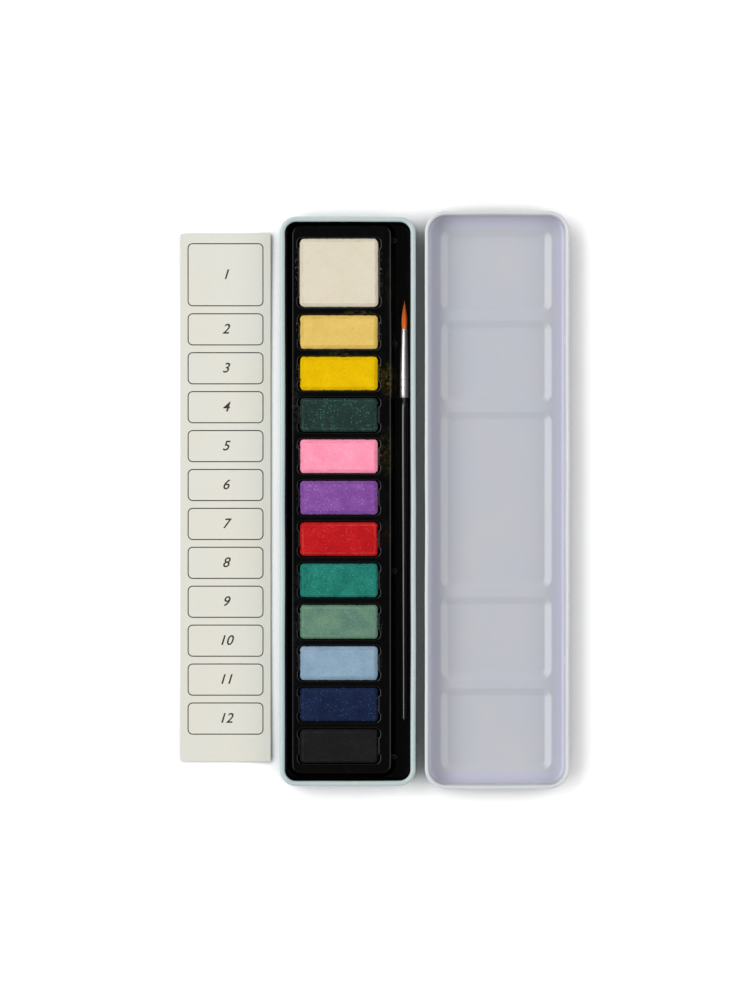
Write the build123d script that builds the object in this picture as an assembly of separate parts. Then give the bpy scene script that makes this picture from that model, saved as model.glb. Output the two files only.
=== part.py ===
from build123d import *
import math
import os

# Watercolour paint set, laid open. From left to right: a colour card, a slim drawn tin that holds a
# black formed tray of pressed paint cakes and the brush, and the tin's lid on its back as a palette.
# Millimetres. +X runs from the card to the lid, +Y towards the white cake, +Z up.
# The origin is the middle of the tin's underside.

# Cakes: pressed paint, one of double height at the head and a row of single ones
CAKE_WIDTH = 30.0
CAKE_LENGTH = 13.0
CAKE_THICKNESS = 5.0
CAKE_CORNER = 1.4
CAKE_BEVEL = 1.1
CAKE_BEVEL_RISE = 0.8
WHITE_CAKE_WIDTH = 30.4
WHITE_CAKE_LENGTH = 26.4
WHITE_CAKE_CORNER = 2.0
SMALL_CAKES = (
    "cake_light_yellow",
    "cake_yellow",
    "cake_forest_green",
    "cake_rose",
    "cake_purple",
    "cake_crimson",
    "cake_teal_green",
    "cake_sea_green",
    "cake_sky_blue",
    "cake_navy",
    "cake_black",
)

# Brush: lies in the trough, its tip towards the white cake
BRUSH_SHIFT = -3.4
BRUSH_CLEARANCE = 0.1
BRUSH_CURL_GAP = 0.5
TUFT_LENGTH = 11.4
TUFT_CONVERGE = 0.4
TUFT_SHORTEST = 5.0
TUFT_ROOT = 1.3
TUFT_BACKING = 0.6
STRANDS = 300
STRAND_FILL = 0.38
FERRULE_LENGTH = 26.7
FERRULE_MOUTH = 2.3
FERRULE_END = 3.44
FERRULE_WALL = 0.15
FERRULE_BARREL = 8.3
CRIMPS_FROM_END = (6.8, 3.95)
CRIMP_WIDTH = 0.9
CRIMP_DEPTH = 0.1
GLUE_LINE = 0.03
HANDLE_LENGTH = 125.3
HANDLE_SHOULDER = 3.2
HANDLE_BULB = 3.5
HANDLE_BUTT = 2.0
HANDLE_DOME = 0.9
HANDLE_DOME_FLAT = 1.2
HANDLE_SWELL = ((5.0, 3.42), (12.7, HANDLE_BULB), (24.0, 3.38), (60.0, 2.75))
HANDLE_TENON = 8.0

# Tray: thermoformed sheet, a tub with a raised deck, sockets in the deck and a trough beside it
TRAY_SHEET = 0.4
TRAY_FIT = 0.3
TRAY_UNDER_CURL = 0.15
DECK_LEFT = 2.36
DECK_RIGHT = 4.24
DECK_HEAD = 4.8
DECK_TAIL = 3.85
DECK_SLOPE = 1.8
DECK_CORNER = 3.5
DECK_EDGE = 0.7
DECK_BELOW_TUB = 1.85
GUTTER_LEFT = 1.7
GUTTER_HEAD = 0.2
GUTTER_TAIL = 1.6
SOCKET_DEPTH = 4.5
SOCKET_OVER_FLOOR = 1.8
SOCKET_CORNER = 2.0
SOCKET_END_GAP = 0.9
SOCKET_SIDE_GAP = 0.35
WHITE_RIB = 2.55
RIB = 2.3
TAB_DEPTH = 0.7
TAB_LENGTH = 7.0
WHITE_TAB_LENGTH = 18.5
NUB_RADIUS = 1.2
NUB_REACH = 0.7
NUB_HEIGHT = 4.5
NUB_GAP = 1.0
NUBS_FROM_HEAD = (5.7, 45.7)
NUBS_FROM_TAIL = (78.3, 6.3)

# Tin: one drawn tinplate sheet, its rim curled inwards over the tray
SHEET = 0.3
TIN_CORNER = 6.3
TIN_BEND = 1.3
TIN_CURL = 2.0
CURL_TURN = 300
CURL_FLATS = 10

# Lid: slides over the tin, its rim curled outwards, five mixing wells embossed in its panel
LID_FIT = 0.25
LID_HEIGHT = 9.6
LID_BEND = 1.6
LID_CURL = 1.5
LID_GAP = 3.5
LID_SHIFT = 0.5
WELL_LENGTH = 32.0
WELL_DEPTH = 1.3
WELL_SLOPE = 2.8
WELL_CORNER = 4.0
WELL_MARGIN = 4.9
RIDGE = 3.4
SNAPS_FROM_END = 47.95
SNAP_LENGTH = 4.8
SNAP_TOP = 2.0
SNAP_DEPTH = 0.4
SNAP_SIDES = 10

# Colour card: heavy board, cut square
CARD_LENGTH = 205.0
CARD_WIDTH = 35.0
CARD_THICKNESS = 0.35
CARD_GAP = 3.9
CARD_SHIFT = 1.4

# How far a socket's cut runs out past the deck
CUT_PAST = 1.0

# Flats that stand for a small quarter round, and for the brush's whole round
SMALL_FLATS = 3
DECK_FLATS = 5
BRUSH_SIDES = 24

UP = Vector(0, 0, 1)

# The set is sized from the inside outwards: the cakes give the deck, the deck and the brush give the
# tray, and the tray gives the tin and its lid
CAKE_PITCH = CAKE_LENGTH + 2 * SOCKET_SIDE_GAP + RIB
ROW_LENGTH = len(SMALL_CAKES) * CAKE_PITCH - RIB
WHITE_SOCKET_LENGTH = WHITE_CAKE_LENGTH + 2 * SOCKET_SIDE_GAP
DECK_LENGTH = DECK_HEAD + WHITE_SOCKET_LENGTH + WHITE_RIB + ROW_LENGTH + DECK_TAIL
DECK_WIDTH = DECK_LEFT + CAKE_WIDTH + 2 * SOCKET_END_GAP + DECK_RIGHT

TRAY_INSET = SHEET + TRAY_FIT + TRAY_SHEET
TROUGH = NUB_REACH + NUB_GAP + HANDLE_BULB + BRUSH_CURL_GAP + TIN_CURL - TRAY_INSET
TIN_LENGTH = GUTTER_HEAD + DECK_LENGTH + 2 * DECK_SLOPE + GUTTER_TAIL + 2 * TRAY_INSET
TIN_WIDTH = GUTTER_LEFT + DECK_WIDTH + 2 * DECK_SLOPE + TROUGH + 2 * TRAY_INSET

TRAY_FLOOR = SHEET + TRAY_SHEET
SOCKET_FLOOR = TRAY_FLOOR + SOCKET_OVER_FLOOR
DECK_TOP = SOCKET_FLOOR + SOCKET_DEPTH
DECK_HEIGHT = DECK_TOP - TRAY_FLOOR
TUB_TOP = DECK_TOP + DECK_BELOW_TUB
TIN_HEIGHT = TUB_TOP + TRAY_UNDER_CURL + TIN_CURL

DECK_X = (GUTTER_LEFT - TROUGH) / 2
DECK_Y = (GUTTER_TAIL - GUTTER_HEAD) / 2
CAKES_X = DECK_X + (DECK_LEFT - DECK_RIGHT) / 2
WHITE_CAKE_Y = DECK_Y + DECK_LENGTH / 2 - DECK_HEAD - WHITE_SOCKET_LENGTH / 2
FIRST_CAKE_Y = WHITE_CAKE_Y - (WHITE_SOCKET_LENGTH + CAKE_PITCH - RIB) / 2 - WHITE_RIB
BRUSH_X = TIN_WIDTH / 2 - TIN_CURL - BRUSH_CURL_GAP - HANDLE_BULB / 2
BRUSH_Z = TRAY_FLOOR + BRUSH_CLEARANCE + HANDLE_BULB / 2
BRUSH_TIP_Y = BRUSH_SHIFT + (TUFT_LENGTH + FERRULE_LENGTH + HANDLE_LENGTH) / 2
MOUTH_Y = BRUSH_TIP_Y - TUFT_LENGTH
COLLAR_Y = MOUTH_Y - FERRULE_LENGTH
BUTT_Y = COLLAR_Y - HANDLE_LENGTH

LID_INSIDE_WIDTH = TIN_WIDTH + 2 * LID_FIT
LID_INSIDE_LENGTH = TIN_LENGTH + 2 * LID_FIT
LID_X = TIN_WIDTH / 2 + LID_GAP + LID_CURL + LID_INSIDE_WIDTH / 2
WELL_WIDTH = LID_INSIDE_WIDTH - 2 * WELL_MARGIN
MIDDLE_WELL_LENGTH = LID_INSIDE_LENGTH - 2 * WELL_MARGIN - 4 * (WELL_LENGTH + RIDGE)
WELL_LENGTHS = (WELL_LENGTH, WELL_LENGTH, MIDDLE_WELL_LENGTH, WELL_LENGTH, WELL_LENGTH)


def eased(width, length, corner, flats=SMALL_FLATS):
    """A rectangle whose round corners are drawn as a few flats each."""
    points = []
    for quarter, (side, end) in enumerate(((1, 1), (-1, 1), (-1, -1), (1, -1))):
        for step in range(flats + 1):
            bearing = (quarter + step / flats) * math.pi / 2
            across = side * (width / 2 - corner) + corner * math.cos(bearing)
            along = end * (length / 2 - corner) + corner * math.sin(bearing)
            points.append((across, along))
    return make_face(Polyline(*points, close=True))


def plate(width, length, corner, z, x=0.0, y=0.0):
    """A rounded rectangle lying flat at height z."""
    return Pos(x, y, z) * RectangleRounded(width, length, corner)


def tub(width, length, corner, bend, bottom, top, ease=fillet):
    """A solid block with rounded corners and an eased lower edge."""
    block = extrude(plate(width, length, corner, bottom), amount=top - bottom)
    return ease(block.edges().group_by(Axis.Z)[0], bend)


def sloped(outline, rise, run):
    """The outline raised by rise, or lowered where it is negative, and drawn in by run on the way."""
    return extrude(outline, amount=rise, taper=math.degrees(math.atan2(run, abs(rise))))


def sheet_shift(rise, run, thickness):
    """How far a slope's outline moves sideways when the sheet under it has this thickness."""
    return thickness * math.tan(math.atan2(rise, run) / 2)


def curl(width, length, corner, height, diameter, side):
    """A rim rolled from the sheet, whose centre line is a rounded rectangle.

    side is 1 where the sheet comes up on the outside and rolls inwards, and -1 the other way.
    """
    path = plate(width, length, corner, height).wire()
    start, along = path @ 0, path % 0
    outward = along.cross(UP)
    if outward.dot(start) < 0:
        outward = -outward
    across = outward * side
    outer = [polar(diameter / 2, step) for step in range(CURL_FLATS + 1)]
    inner = [polar(diameter / 2 - SHEET, step) for step in range(0, CURL_FLATS + 1, 2)]
    section = make_face(Polyline(*outer, *reversed(inner), close=True))
    return sweep(Plane(start, x_dir=across, z_dir=across.cross(UP)) * section, path=path)


def polar(radius, step):
    """A point of the roll's section, counted in its flats from where the wall meets it."""
    bearing = math.radians(CURL_TURN) * step / CURL_FLATS
    return radius * math.cos(bearing), radius * math.sin(bearing)


def inner_bend():
    """The flat inside the tin's bend that leaves the sheet its full thickness there."""
    return TIN_BEND * (2 - math.sqrt(2)) - 2 * SHEET + math.sqrt(2) * SHEET


def tin_base():
    roll = TIN_CURL / 2
    wall_top = TIN_HEIGHT - roll
    outside = tub(TIN_WIDTH, TIN_LENGTH, TIN_CORNER, TIN_BEND, 0, wall_top)
    inside = tub(
        TIN_WIDTH - 2 * SHEET,
        TIN_LENGTH - 2 * SHEET,
        TIN_CORNER - SHEET,
        inner_bend(),
        SHEET,
        TIN_HEIGHT,
        ease=chamfer,
    )
    rim = curl(TIN_WIDTH - 2 * roll, TIN_LENGTH - 2 * roll, TIN_CORNER - roll, wall_top, TIN_CURL, 1)
    return outside - inside + rim


def tray_tub(grow):
    """The inside of the tray's tub, or its outside when grow is the sheet's thickness."""
    inset = TRAY_INSET - grow
    return tub(
        TIN_WIDTH - 2 * inset,
        TIN_LENGTH - 2 * inset,
        TIN_CORNER - inset,
        inner_bend(),
        TRAY_FLOOR - grow,
        TUB_TOP,
        ease=chamfer,
    )


def deck(shrink):
    """The raised deck with its sloping sides, or the hollow under it, set in by shrink."""
    out = DECK_SLOPE * DECK_EDGE / DECK_HEIGHT - sheet_shift(DECK_HEIGHT, DECK_SLOPE, shrink)
    outline = eased(DECK_WIDTH + 2 * out, DECK_LENGTH + 2 * out, DECK_CORNER + out, DECK_FLATS)
    outline = Pos(DECK_X, DECK_Y, DECK_TOP - DECK_EDGE - shrink) * outline
    fall = DECK_HEIGHT - DECK_EDGE
    flanks = sloped(outline, -fall, -DECK_SLOPE * fall / DECK_HEIGHT)
    return flanks + sloped(outline, DECK_EDGE, DECK_EDGE / 2)


def nubs():
    """The pips on the deck's side that keep the brush in its trough."""
    trough_side = DECK_X + DECK_WIDTH / 2 + DECK_SLOPE
    places = [DECK_Y + DECK_LENGTH / 2 - from_head for from_head in NUBS_FROM_HEAD]
    places += [DECK_Y - DECK_LENGTH / 2 + from_tail for from_tail in NUBS_FROM_TAIL]
    pips = []
    for place in places:
        middle = Pos(trough_side + NUB_REACH - NUB_RADIUS, place, TRAY_FLOOR)
        pips.append(extrude(middle * Circle(NUB_RADIUS), amount=NUB_HEIGHT))
    return pips


def socket(width, length, tab_length, place, grow):
    """One socket: a pocket round its cake, whose ends step in to tabs that locate the cake."""
    across = width + 2 * (SOCKET_END_GAP + grow)
    pocket = eased(across, length + 2 * (SOCKET_SIDE_GAP + grow), SOCKET_CORNER + grow)
    tab = Rectangle(2 * TAB_DEPTH, tab_length - 2 * grow)
    for end in (-1, 1):
        pocket -= Pos(end * across / 2, 0) * tab
    floor = SOCKET_FLOOR - grow
    return extrude(Pos(CAKES_X, place, floor) * pocket, amount=DECK_TOP + CUT_PAST - floor)


def small_cake_place(number):
    return FIRST_CAKE_Y - number * CAKE_PITCH


def tray_hollow(grow):
    """All the air above the tray's sheet, or the space that the sheet fills as well."""
    hollow = tray_tub(grow) - deck(grow)
    hollow += socket(WHITE_CAKE_WIDTH, WHITE_CAKE_LENGTH, WHITE_TAB_LENGTH, WHITE_CAKE_Y, grow)
    for number in range(len(SMALL_CAKES)):
        hollow += socket(CAKE_WIDTH, CAKE_LENGTH, TAB_LENGTH, small_cake_place(number), grow)
    return hollow


def insert_tray():
    tray = tray_hollow(TRAY_SHEET) - tray_hollow(0)
    for pip in nubs():
        tray += pip - deck(TRAY_SHEET / 2)
    return tray


def cake(width, length, corner, place):
    """A pressed tablet of paint with a bevelled top edge, standing on its socket's floor."""
    shoulder = CAKE_THICKNESS - CAKE_BEVEL_RISE
    foot = Pos(CAKES_X, place, SOCKET_FLOOR) * eased(width, length, corner)
    return extrude(foot, amount=shoulder) + sloped(Pos(0, 0, shoulder) * foot, CAKE_BEVEL_RISE, CAKE_BEVEL)


def laid_in_trough(shape):
    """The brush is drawn along Y about its own axis, and this puts it in its place."""
    return Pos(BRUSH_X, 0, BRUSH_Z) * shape


def turned(*slices):
    """A turned bar through slices of (half its thickness, where it is along Y)."""
    outlines = []
    for radius, along in slices:
        across = Plane(origin=(0, along, 0), z_dir=(0, 1, 0))
        outlines.append(across * RegularPolygon(radius, BRUSH_SIDES))
    return loft(outlines, ruled=True)


def brush_ferrule():
    """A seamless tapered tube, rolled in at two crimps over the handle's tenon."""
    mouth, barrel = FERRULE_MOUTH / 2, FERRULE_END / 2
    outer = [(mouth, MOUTH_Y), (barrel, COLLAR_Y + FERRULE_BARREL)]
    for place in CRIMPS_FROM_END:
        outer.append((barrel, COLLAR_Y + place + CRIMP_WIDTH / 2))
        outer.append((barrel - CRIMP_DEPTH, COLLAR_Y + place))
        outer.append((barrel, COLLAR_Y + place - CRIMP_WIDTH / 2))
    outer.append((barrel, COLLAR_Y))
    bore = turned(
        (mouth - FERRULE_WALL, MOUTH_Y),
        (barrel - FERRULE_WALL, COLLAR_Y + FERRULE_BARREL),
        (barrel - FERRULE_WALL, COLLAR_Y),
    )
    return laid_in_trough(turned(*outer) - bore)


def brush_handle():
    """Turned wood: a tenon in the ferrule, a slight bulb, and a long taper to the rounded butt."""
    tenon = FERRULE_END / 2 - FERRULE_WALL - GLUE_LINE
    swell = [(diameter / 2, COLLAR_Y - along) for along, diameter in HANDLE_SWELL]
    body = turned(
        (HANDLE_SHOULDER / 2, COLLAR_Y),
        *swell,
        (HANDLE_BUTT / 2, BUTT_Y + HANDLE_DOME),
        (HANDLE_DOME_FLAT / 2, BUTT_Y),
    )
    return laid_in_trough(body + turned((tenon, COLLAR_Y), (tenon, COLLAR_Y + HANDLE_TENON)))


def tuft_radius():
    return FERRULE_MOUTH / 2 - FERRULE_WALL - GLUE_LINE


def strand(radius, angle, size):
    """One hair: three-sided, drawn in towards the tuft's point, shorter the further out it stands."""
    end = TUFT_LENGTH - (TUFT_LENGTH - TUFT_SHORTEST) * radius / tuft_radius()
    run = (TUFT_ROOT + end) / (TUFT_ROOT + TUFT_LENGTH)
    sections = []
    for along, scale in ((-TUFT_ROOT, 1.0), (end, 1 - (1 - TUFT_CONVERGE) * run)):
        corners = []
        for turn in range(3):
            bearing = angle + turn * math.tau / 3
            across = radius * math.cos(angle) + size * math.cos(bearing)
            upward = radius * math.sin(angle) + size * math.sin(bearing)
            corners.append((across * scale, MOUTH_Y + along, upward * scale))
        sections.append(Wire.make_polygon(corners))
    return Solid.make_loft(sections, ruled=True)


def brush_tuft():
    """Hairs packed like the seeds of a sunflower, all set in one slice of glue in the ferrule."""
    size = tuft_radius() * math.sqrt(math.pi / STRANDS) * STRAND_FILL
    golden = math.pi * (3 - math.sqrt(5))
    strands = []
    for number in range(STRANDS):
        radius = (tuft_radius() - size) * math.sqrt((number + 0.5) / STRANDS)
        strands.append(strand(radius, number * golden, size))
    root = MOUTH_Y - TUFT_ROOT
    disc = Plane(origin=(0, root - TUFT_BACKING / 2, 0), z_dir=(0, 1, 0)) * Circle(tuft_radius())
    backing = extrude(disc, amount=TUFT_BACKING)
    return laid_in_trough(backing.fuse(*strands))


def lid_hollow(grow):
    """The air in the lid, which lies on its back, or its outside when grow is the sheet's thickness."""
    panel = WELL_DEPTH + SHEET - grow
    hollow = tub(
        LID_INSIDE_WIDTH + 2 * grow,
        LID_INSIDE_LENGTH + 2 * grow,
        TIN_CORNER + LID_FIT + grow,
        LID_BEND + grow,
        panel,
        LID_HEIGHT - LID_CURL / 2 + (SHEET - grow),
    )
    side = sheet_shift(WELL_DEPTH, WELL_SLOPE, grow)
    start = LID_INSIDE_LENGTH / 2 - WELL_MARGIN
    for length in WELL_LENGTHS:
        brim = eased(WELL_WIDTH + 2 * side, length + 2 * side, WELL_CORNER + side)
        hollow += sloped(Pos(0, start - length / 2, panel) * brim, -WELL_DEPTH, WELL_SLOPE)
        start -= length + RIDGE
    return hollow


def snaps(wall):
    """The four dimples that grip the tin, two in each long wall, raised inwards from x = wall."""
    middle_z = (WELL_DEPTH + SHEET + LID_HEIGHT) / 2
    dimples = []
    for side in (-1, 1):
        for end in (-1, 1):
            place = end * (LID_INSIDE_LENGTH / 2 - SNAPS_FROM_END)
            face = Plane(origin=(side * wall, place, middle_z), z_dir=(-side, 0, 0))
            foot = face * RegularPolygon(SNAP_LENGTH / 2, SNAP_SIDES)
            top = face.offset(SNAP_DEPTH) * RegularPolygon(SNAP_TOP / 2, SNAP_SIDES)
            dimples.append(loft([foot, top], ruled=True))
    return dimples


def mixing_lid():
    roll = LID_CURL / 2
    wall_top = LID_HEIGHT - roll
    shell = lid_hollow(SHEET) - lid_hollow(0)
    for dimple in snaps(LID_INSIDE_WIDTH / 2):
        shell += dimple
    for dimple in snaps(LID_INSIDE_WIDTH / 2 + SHEET):
        shell -= dimple
    rim = curl(
        LID_INSIDE_WIDTH + 2 * roll,
        LID_INSIDE_LENGTH + 2 * roll,
        TIN_CORNER + LID_FIT + roll,
        wall_top,
        LID_CURL,
        -1,
    )
    return Pos(LID_X, LID_SHIFT, 0) * (shell + rim)


def colour_card():
    left = -TIN_WIDTH / 2 - CARD_GAP - CARD_WIDTH / 2
    return extrude(Pos(left, CARD_SHIFT) * Rectangle(CARD_WIDTH, CARD_LENGTH), amount=CARD_THICKNESS)


def write(shape, node):
    os.makedirs("parts", exist_ok=True)
    export_step(shape, f"parts/{node}.step")
    print(node, round(shape.volume, 1), "mm3")


write(tin_base(), "tin_base")
write(insert_tray(), "insert_tray")
write(cake(WHITE_CAKE_WIDTH, WHITE_CAKE_LENGTH, WHITE_CAKE_CORNER, WHITE_CAKE_Y), "cake_white")
for number, node in enumerate(SMALL_CAKES):
    write(cake(CAKE_WIDTH, CAKE_LENGTH, CAKE_CORNER, small_cake_place(number)), node)
write(brush_handle(), "brush_handle")
write(brush_ferrule(), "brush_ferrule")
write(brush_tuft(), "brush_tuft")
write(mixing_lid(), "mixing_lid")
write(colour_card(), "colour_card")
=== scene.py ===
# %% [markdown]
# # A watercolour paint set, laid open
# The set is a slim lacquered tin with a black formed tray of pressed paints and a brush, the tin's lid on
# its back as a palette, and a colour card. The CAD part fixes where every piece is and how it moves. This
# script gives the pieces their finished surfaces: it builds soft-edged sheets over the plain CAD solids,
# packs the brush with hair, prints the card and lights the set as for a catalogue picture from above.

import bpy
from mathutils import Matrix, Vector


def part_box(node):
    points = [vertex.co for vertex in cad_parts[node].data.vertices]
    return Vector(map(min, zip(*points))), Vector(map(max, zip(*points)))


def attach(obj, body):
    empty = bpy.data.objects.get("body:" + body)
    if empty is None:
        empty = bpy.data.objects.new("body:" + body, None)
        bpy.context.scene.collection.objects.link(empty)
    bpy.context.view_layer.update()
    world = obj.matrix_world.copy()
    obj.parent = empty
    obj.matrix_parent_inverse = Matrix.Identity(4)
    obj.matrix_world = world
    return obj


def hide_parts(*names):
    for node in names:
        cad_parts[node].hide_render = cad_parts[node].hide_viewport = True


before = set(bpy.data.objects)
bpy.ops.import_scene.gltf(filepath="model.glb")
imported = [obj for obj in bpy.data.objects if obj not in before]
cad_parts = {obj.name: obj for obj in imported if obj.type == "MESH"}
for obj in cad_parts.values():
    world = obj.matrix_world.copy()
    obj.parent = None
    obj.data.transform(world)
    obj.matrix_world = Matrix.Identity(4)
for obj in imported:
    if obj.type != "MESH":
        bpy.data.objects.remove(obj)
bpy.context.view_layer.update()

# %% The modules used below
import math

import bmesh
import bpy
from mathutils import Vector, noise

MM = 0.001
scene = bpy.context.scene
print("made with Blender", bpy.app.version_string)

# %% [markdown]
# ## The camera
# The picture is taken from straight above, a little over a metre away, so the walls of the tin hardly show.
# A long lens on a fixed point does this. The frame's height on the table gives the focal length.

# %% Camera over the table
CAMERA_PLACE = Vector((10.5, 0.5, 1070.0)) * MM
FRAME_HEIGHT = 389.0 * MM
SENSOR_HEIGHT = 36.0


def new_piece(name, data):
    """An object at the origin that shows this mesh, text, lamp or camera."""
    piece = bpy.data.objects.new(name, data)
    scene.collection.objects.link(piece)
    return piece


camera = new_piece("camera", bpy.data.cameras.new("camera"))
camera.location = CAMERA_PLACE
camera.data.sensor_fit = "VERTICAL"
camera.data.sensor_height = SENSOR_HEIGHT
camera.data.lens = SENSOR_HEIGHT * CAMERA_PLACE.z / FRAME_HEIGHT
scene.camera = camera
print("focal length", round(camera.data.lens, 1), "mm")

# %% [markdown]
# ## Light
# Enamel, lacquer and a nickel ferrule only look right if there is something soft and bright to mirror, so
# the lamps are large panels. The stronger one stands on the left, as the shadows to the right of each piece
# say. The other stands on the right, and the sloping sides of the lid's wells mirror one each. The lamps and
# the world together light a flat white sheet to about its own colour, so that colours render as written.

# %% Soft panels
scene.view_settings.view_transform = "Standard"
MIDDLE = Vector((0.01, 0.0, 0.0))


def lamp(name, place, size, power):
    """A soft rectangular panel at place, facing the set. Its size is in metres and its power in watts."""
    data = bpy.data.lights.new(name, "AREA")
    data.shape = "RECTANGLE"
    data.size, data.size_y = size
    data.energy = power
    panel = new_piece(name, data)
    panel.location = place
    panel.rotation_euler = (MIDDLE - Vector(place)).to_track_quat("-Z", "Y").to_euler()
    print(name, power, "W")


lamp("window_panel", (-1.02, 0.18, 1.05), (2.2, 1.0), 21.0)
lamp("bounce_panel", (1.1, 0.1, 1.0), (2.0, 0.9), 8.6)

# %% [markdown]
# ## Nodes
# Materials and Geometry Nodes are both trees of nodes, and one function adds a node to either. Settings of
# a node start with a small letter and its sockets with a capital one, which tells the two apart. Colours
# are written as they look on a screen, in hex, and one function turns them to linear values.

# %% One way to add a node
def srgb(code):
    """A hex colour as a linear colour with alpha."""
    parts = [int(code[place:place + 2], 16) / 255 for place in (0, 2, 4)]
    linear = [c / 12.92 if c <= 0.04045 else ((c + 0.055) / 1.055) ** 2.4 for c in parts]
    return (*linear, 1.0)


def fill_sockets(tree, made, *values, **named):
    """Fills a node's sockets in their order or by name, with values, hex colours, outputs or nodes."""
    in_use = [socket for socket in made.inputs if socket.enabled]
    pairs = list(zip(in_use, values)) + [(made.inputs[key.replace("_", " ")], named[key]) for key in named]
    for socket, value in pairs:
        if isinstance(value, bpy.types.Node):
            value = next(output for output in value.outputs if output.enabled)
        if isinstance(value, bpy.types.NodeSocket):
            tree.links.new(value, socket)
        elif isinstance(value, str) and socket.type == "RGBA":
            socket.default_value = srgb(value)
        else:
            socket.default_value = value


def add_node(tree, kind, *values, **named):
    """Adds a node with its settings and links. Named values with a small first letter are settings."""
    made = tree.nodes.new(kind)
    for key in [key for key in named if key[0].islower()]:
        setattr(made, key, named.pop(key))
    fill_sockets(tree, made, *values, **named)
    return made


print("mid grey 808080 is", round(srgb("808080")[0], 3), "in linear light")

# %% [markdown]
# ## World and floor
# The set lies on a white sheet. The world lights it softly from above and is white wherever the camera sees
# it. Mirrors see a bright horizon and a dark zenith, as in a room with tall windows. The floor keeps the
# shadows of the pieces, and ambient occlusion deepens the narrow gaps between them. Both changes are made
# for the rays that see the background only, so neither puts more light on the set.

# %% World
HORIZON = 0.2
ZENITH = 0.42
MIRRORED_HORIZON = 0.9
MIRRORED_ZENITH = 0.06

world = bpy.data.worlds.new("studio")
scene.world = world
world.use_nodes = True
sky = world.node_tree
sky.nodes.clear()
direction = add_node(sky, "ShaderNodeTexCoord").outputs["Generated"]
upward = add_node(sky, "ShaderNodeSeparateXYZ", direction).outputs["Z"]
room = add_node(sky, "ShaderNodeMapRange", upward, 0, 1, HORIZON, ZENITH)
mirrored = add_node(sky, "ShaderNodeMapRange", upward, 0, 1, MIRRORED_HORIZON, MIRRORED_ZENITH)
rays = add_node(sky, "ShaderNodeLightPath").outputs
soft = add_node(sky, "ShaderNodeMapRange", rays["Is Glossy Ray"], 0, 1, room, mirrored)
clear = add_node(sky, "ShaderNodeMath", rays["Is Camera Ray"], rays["Is Transmission Ray"],
                 operation="MAXIMUM")
strength = add_node(sky, "ShaderNodeMapRange", clear, 0, 1, soft, 1.0)
backdrop = add_node(sky, "ShaderNodeBackground", Color="FFFFFF", Strength=strength)
add_node(sky, "ShaderNodeOutputWorld", Surface=backdrop)
print("world from", HORIZON, "at the horizon to", ZENITH, "overhead")

# %% Floor
FLOOR_HALF = 3.0
FLOOR_COLOUR = 0.80
FLOOR_SEEN = 1.25
CREVICE_SEEN = 0.27
CREVICE_REACH = 21 * MM
CREVICE_DEEP = 0.1
CREVICE_OPEN = 0.82
FADE_START = 0.4
FADE_END = 0.8

corners = [(x * FLOOR_HALF, y * FLOOR_HALF, 0) for x, y in ((-1, -1), (1, -1), (1, 1), (-1, 1))]
floor_mesh = bpy.data.meshes.new("table_top")
floor_mesh.from_pydata(corners, [], [(0, 1, 2, 3)])
floor = new_piece("table_top", floor_mesh)


def white_sheet():
    """Matt white paper. The background's rays see it brighter, darker in gaps and plain far away."""
    material = bpy.data.materials.new("white_table_sheet")
    material.use_nodes = True
    tree = material.node_tree
    tree.nodes.clear()
    rays = add_node(tree, "ShaderNodeLightPath").outputs
    bright = add_node(tree, "ShaderNodeMath", rays["Is Camera Ray"], rays["Is Glossy Ray"],
                      operation="MAXIMUM")
    bright = add_node(tree, "ShaderNodeMath", bright, rays["Is Transmission Ray"], operation="MAXIMUM")
    crevice = add_node(tree, "ShaderNodeAmbientOcclusion", Distance=CREVICE_REACH, samples=8).outputs["AO"]
    seen = add_node(tree, "ShaderNodeMapRange", crevice, CREVICE_DEEP, CREVICE_OPEN, CREVICE_SEEN, FLOOR_SEEN)
    tone = add_node(tree, "ShaderNodeMapRange", bright, 0, 1, FLOOR_COLOUR, seen)
    matt = add_node(tree, "ShaderNodeBsdfDiffuse", Color=tone)
    place = add_node(tree, "ShaderNodeTexCoord").outputs["Object"]
    away = add_node(tree, "ShaderNodeVectorMath", place, operation="LENGTH")
    fade = add_node(tree, "ShaderNodeMapRange", away, FADE_START, FADE_END, 0, 1)
    faded = add_node(tree, "ShaderNodeMath", fade, rays["Is Camera Ray"], operation="MULTIPLY")
    white = add_node(tree, "ShaderNodeEmission", Color="FFFFFF", Strength=1.0)
    blend = add_node(tree, "ShaderNodeMixShader", faded, matt, white)
    add_node(tree, "ShaderNodeOutputMaterial", Surface=blend)
    return material


floor_mesh.materials.append(white_sheet())
print("floor", 2 * FLOOR_HALF, "m square")

# %% [markdown]
# ## How a pressed sheet is built
# The tin, the lid and the tray are each one thin sheet, pressed or drawn over a tool. All three are made
# the same way here. A profile of offsets and heights is carried round a rounded rectangle, which gives
# walls, bends and curls. The flat levels between the walls are filled in, holes and all. A Solidify
# modifier then gives the sheet its real thickness, and the result is baked to a plain mesh.

# %% Outlines and profiles
CORNER_STEPS = 12
BEND_STEPS = 5


def within(share):
    """Holds a share between 0 and 1."""
    return min(1.0, max(0.0, share))


def eased_share(share):
    """A share that starts and ends slowly."""
    return share * share * (3 - 2 * share)


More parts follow.
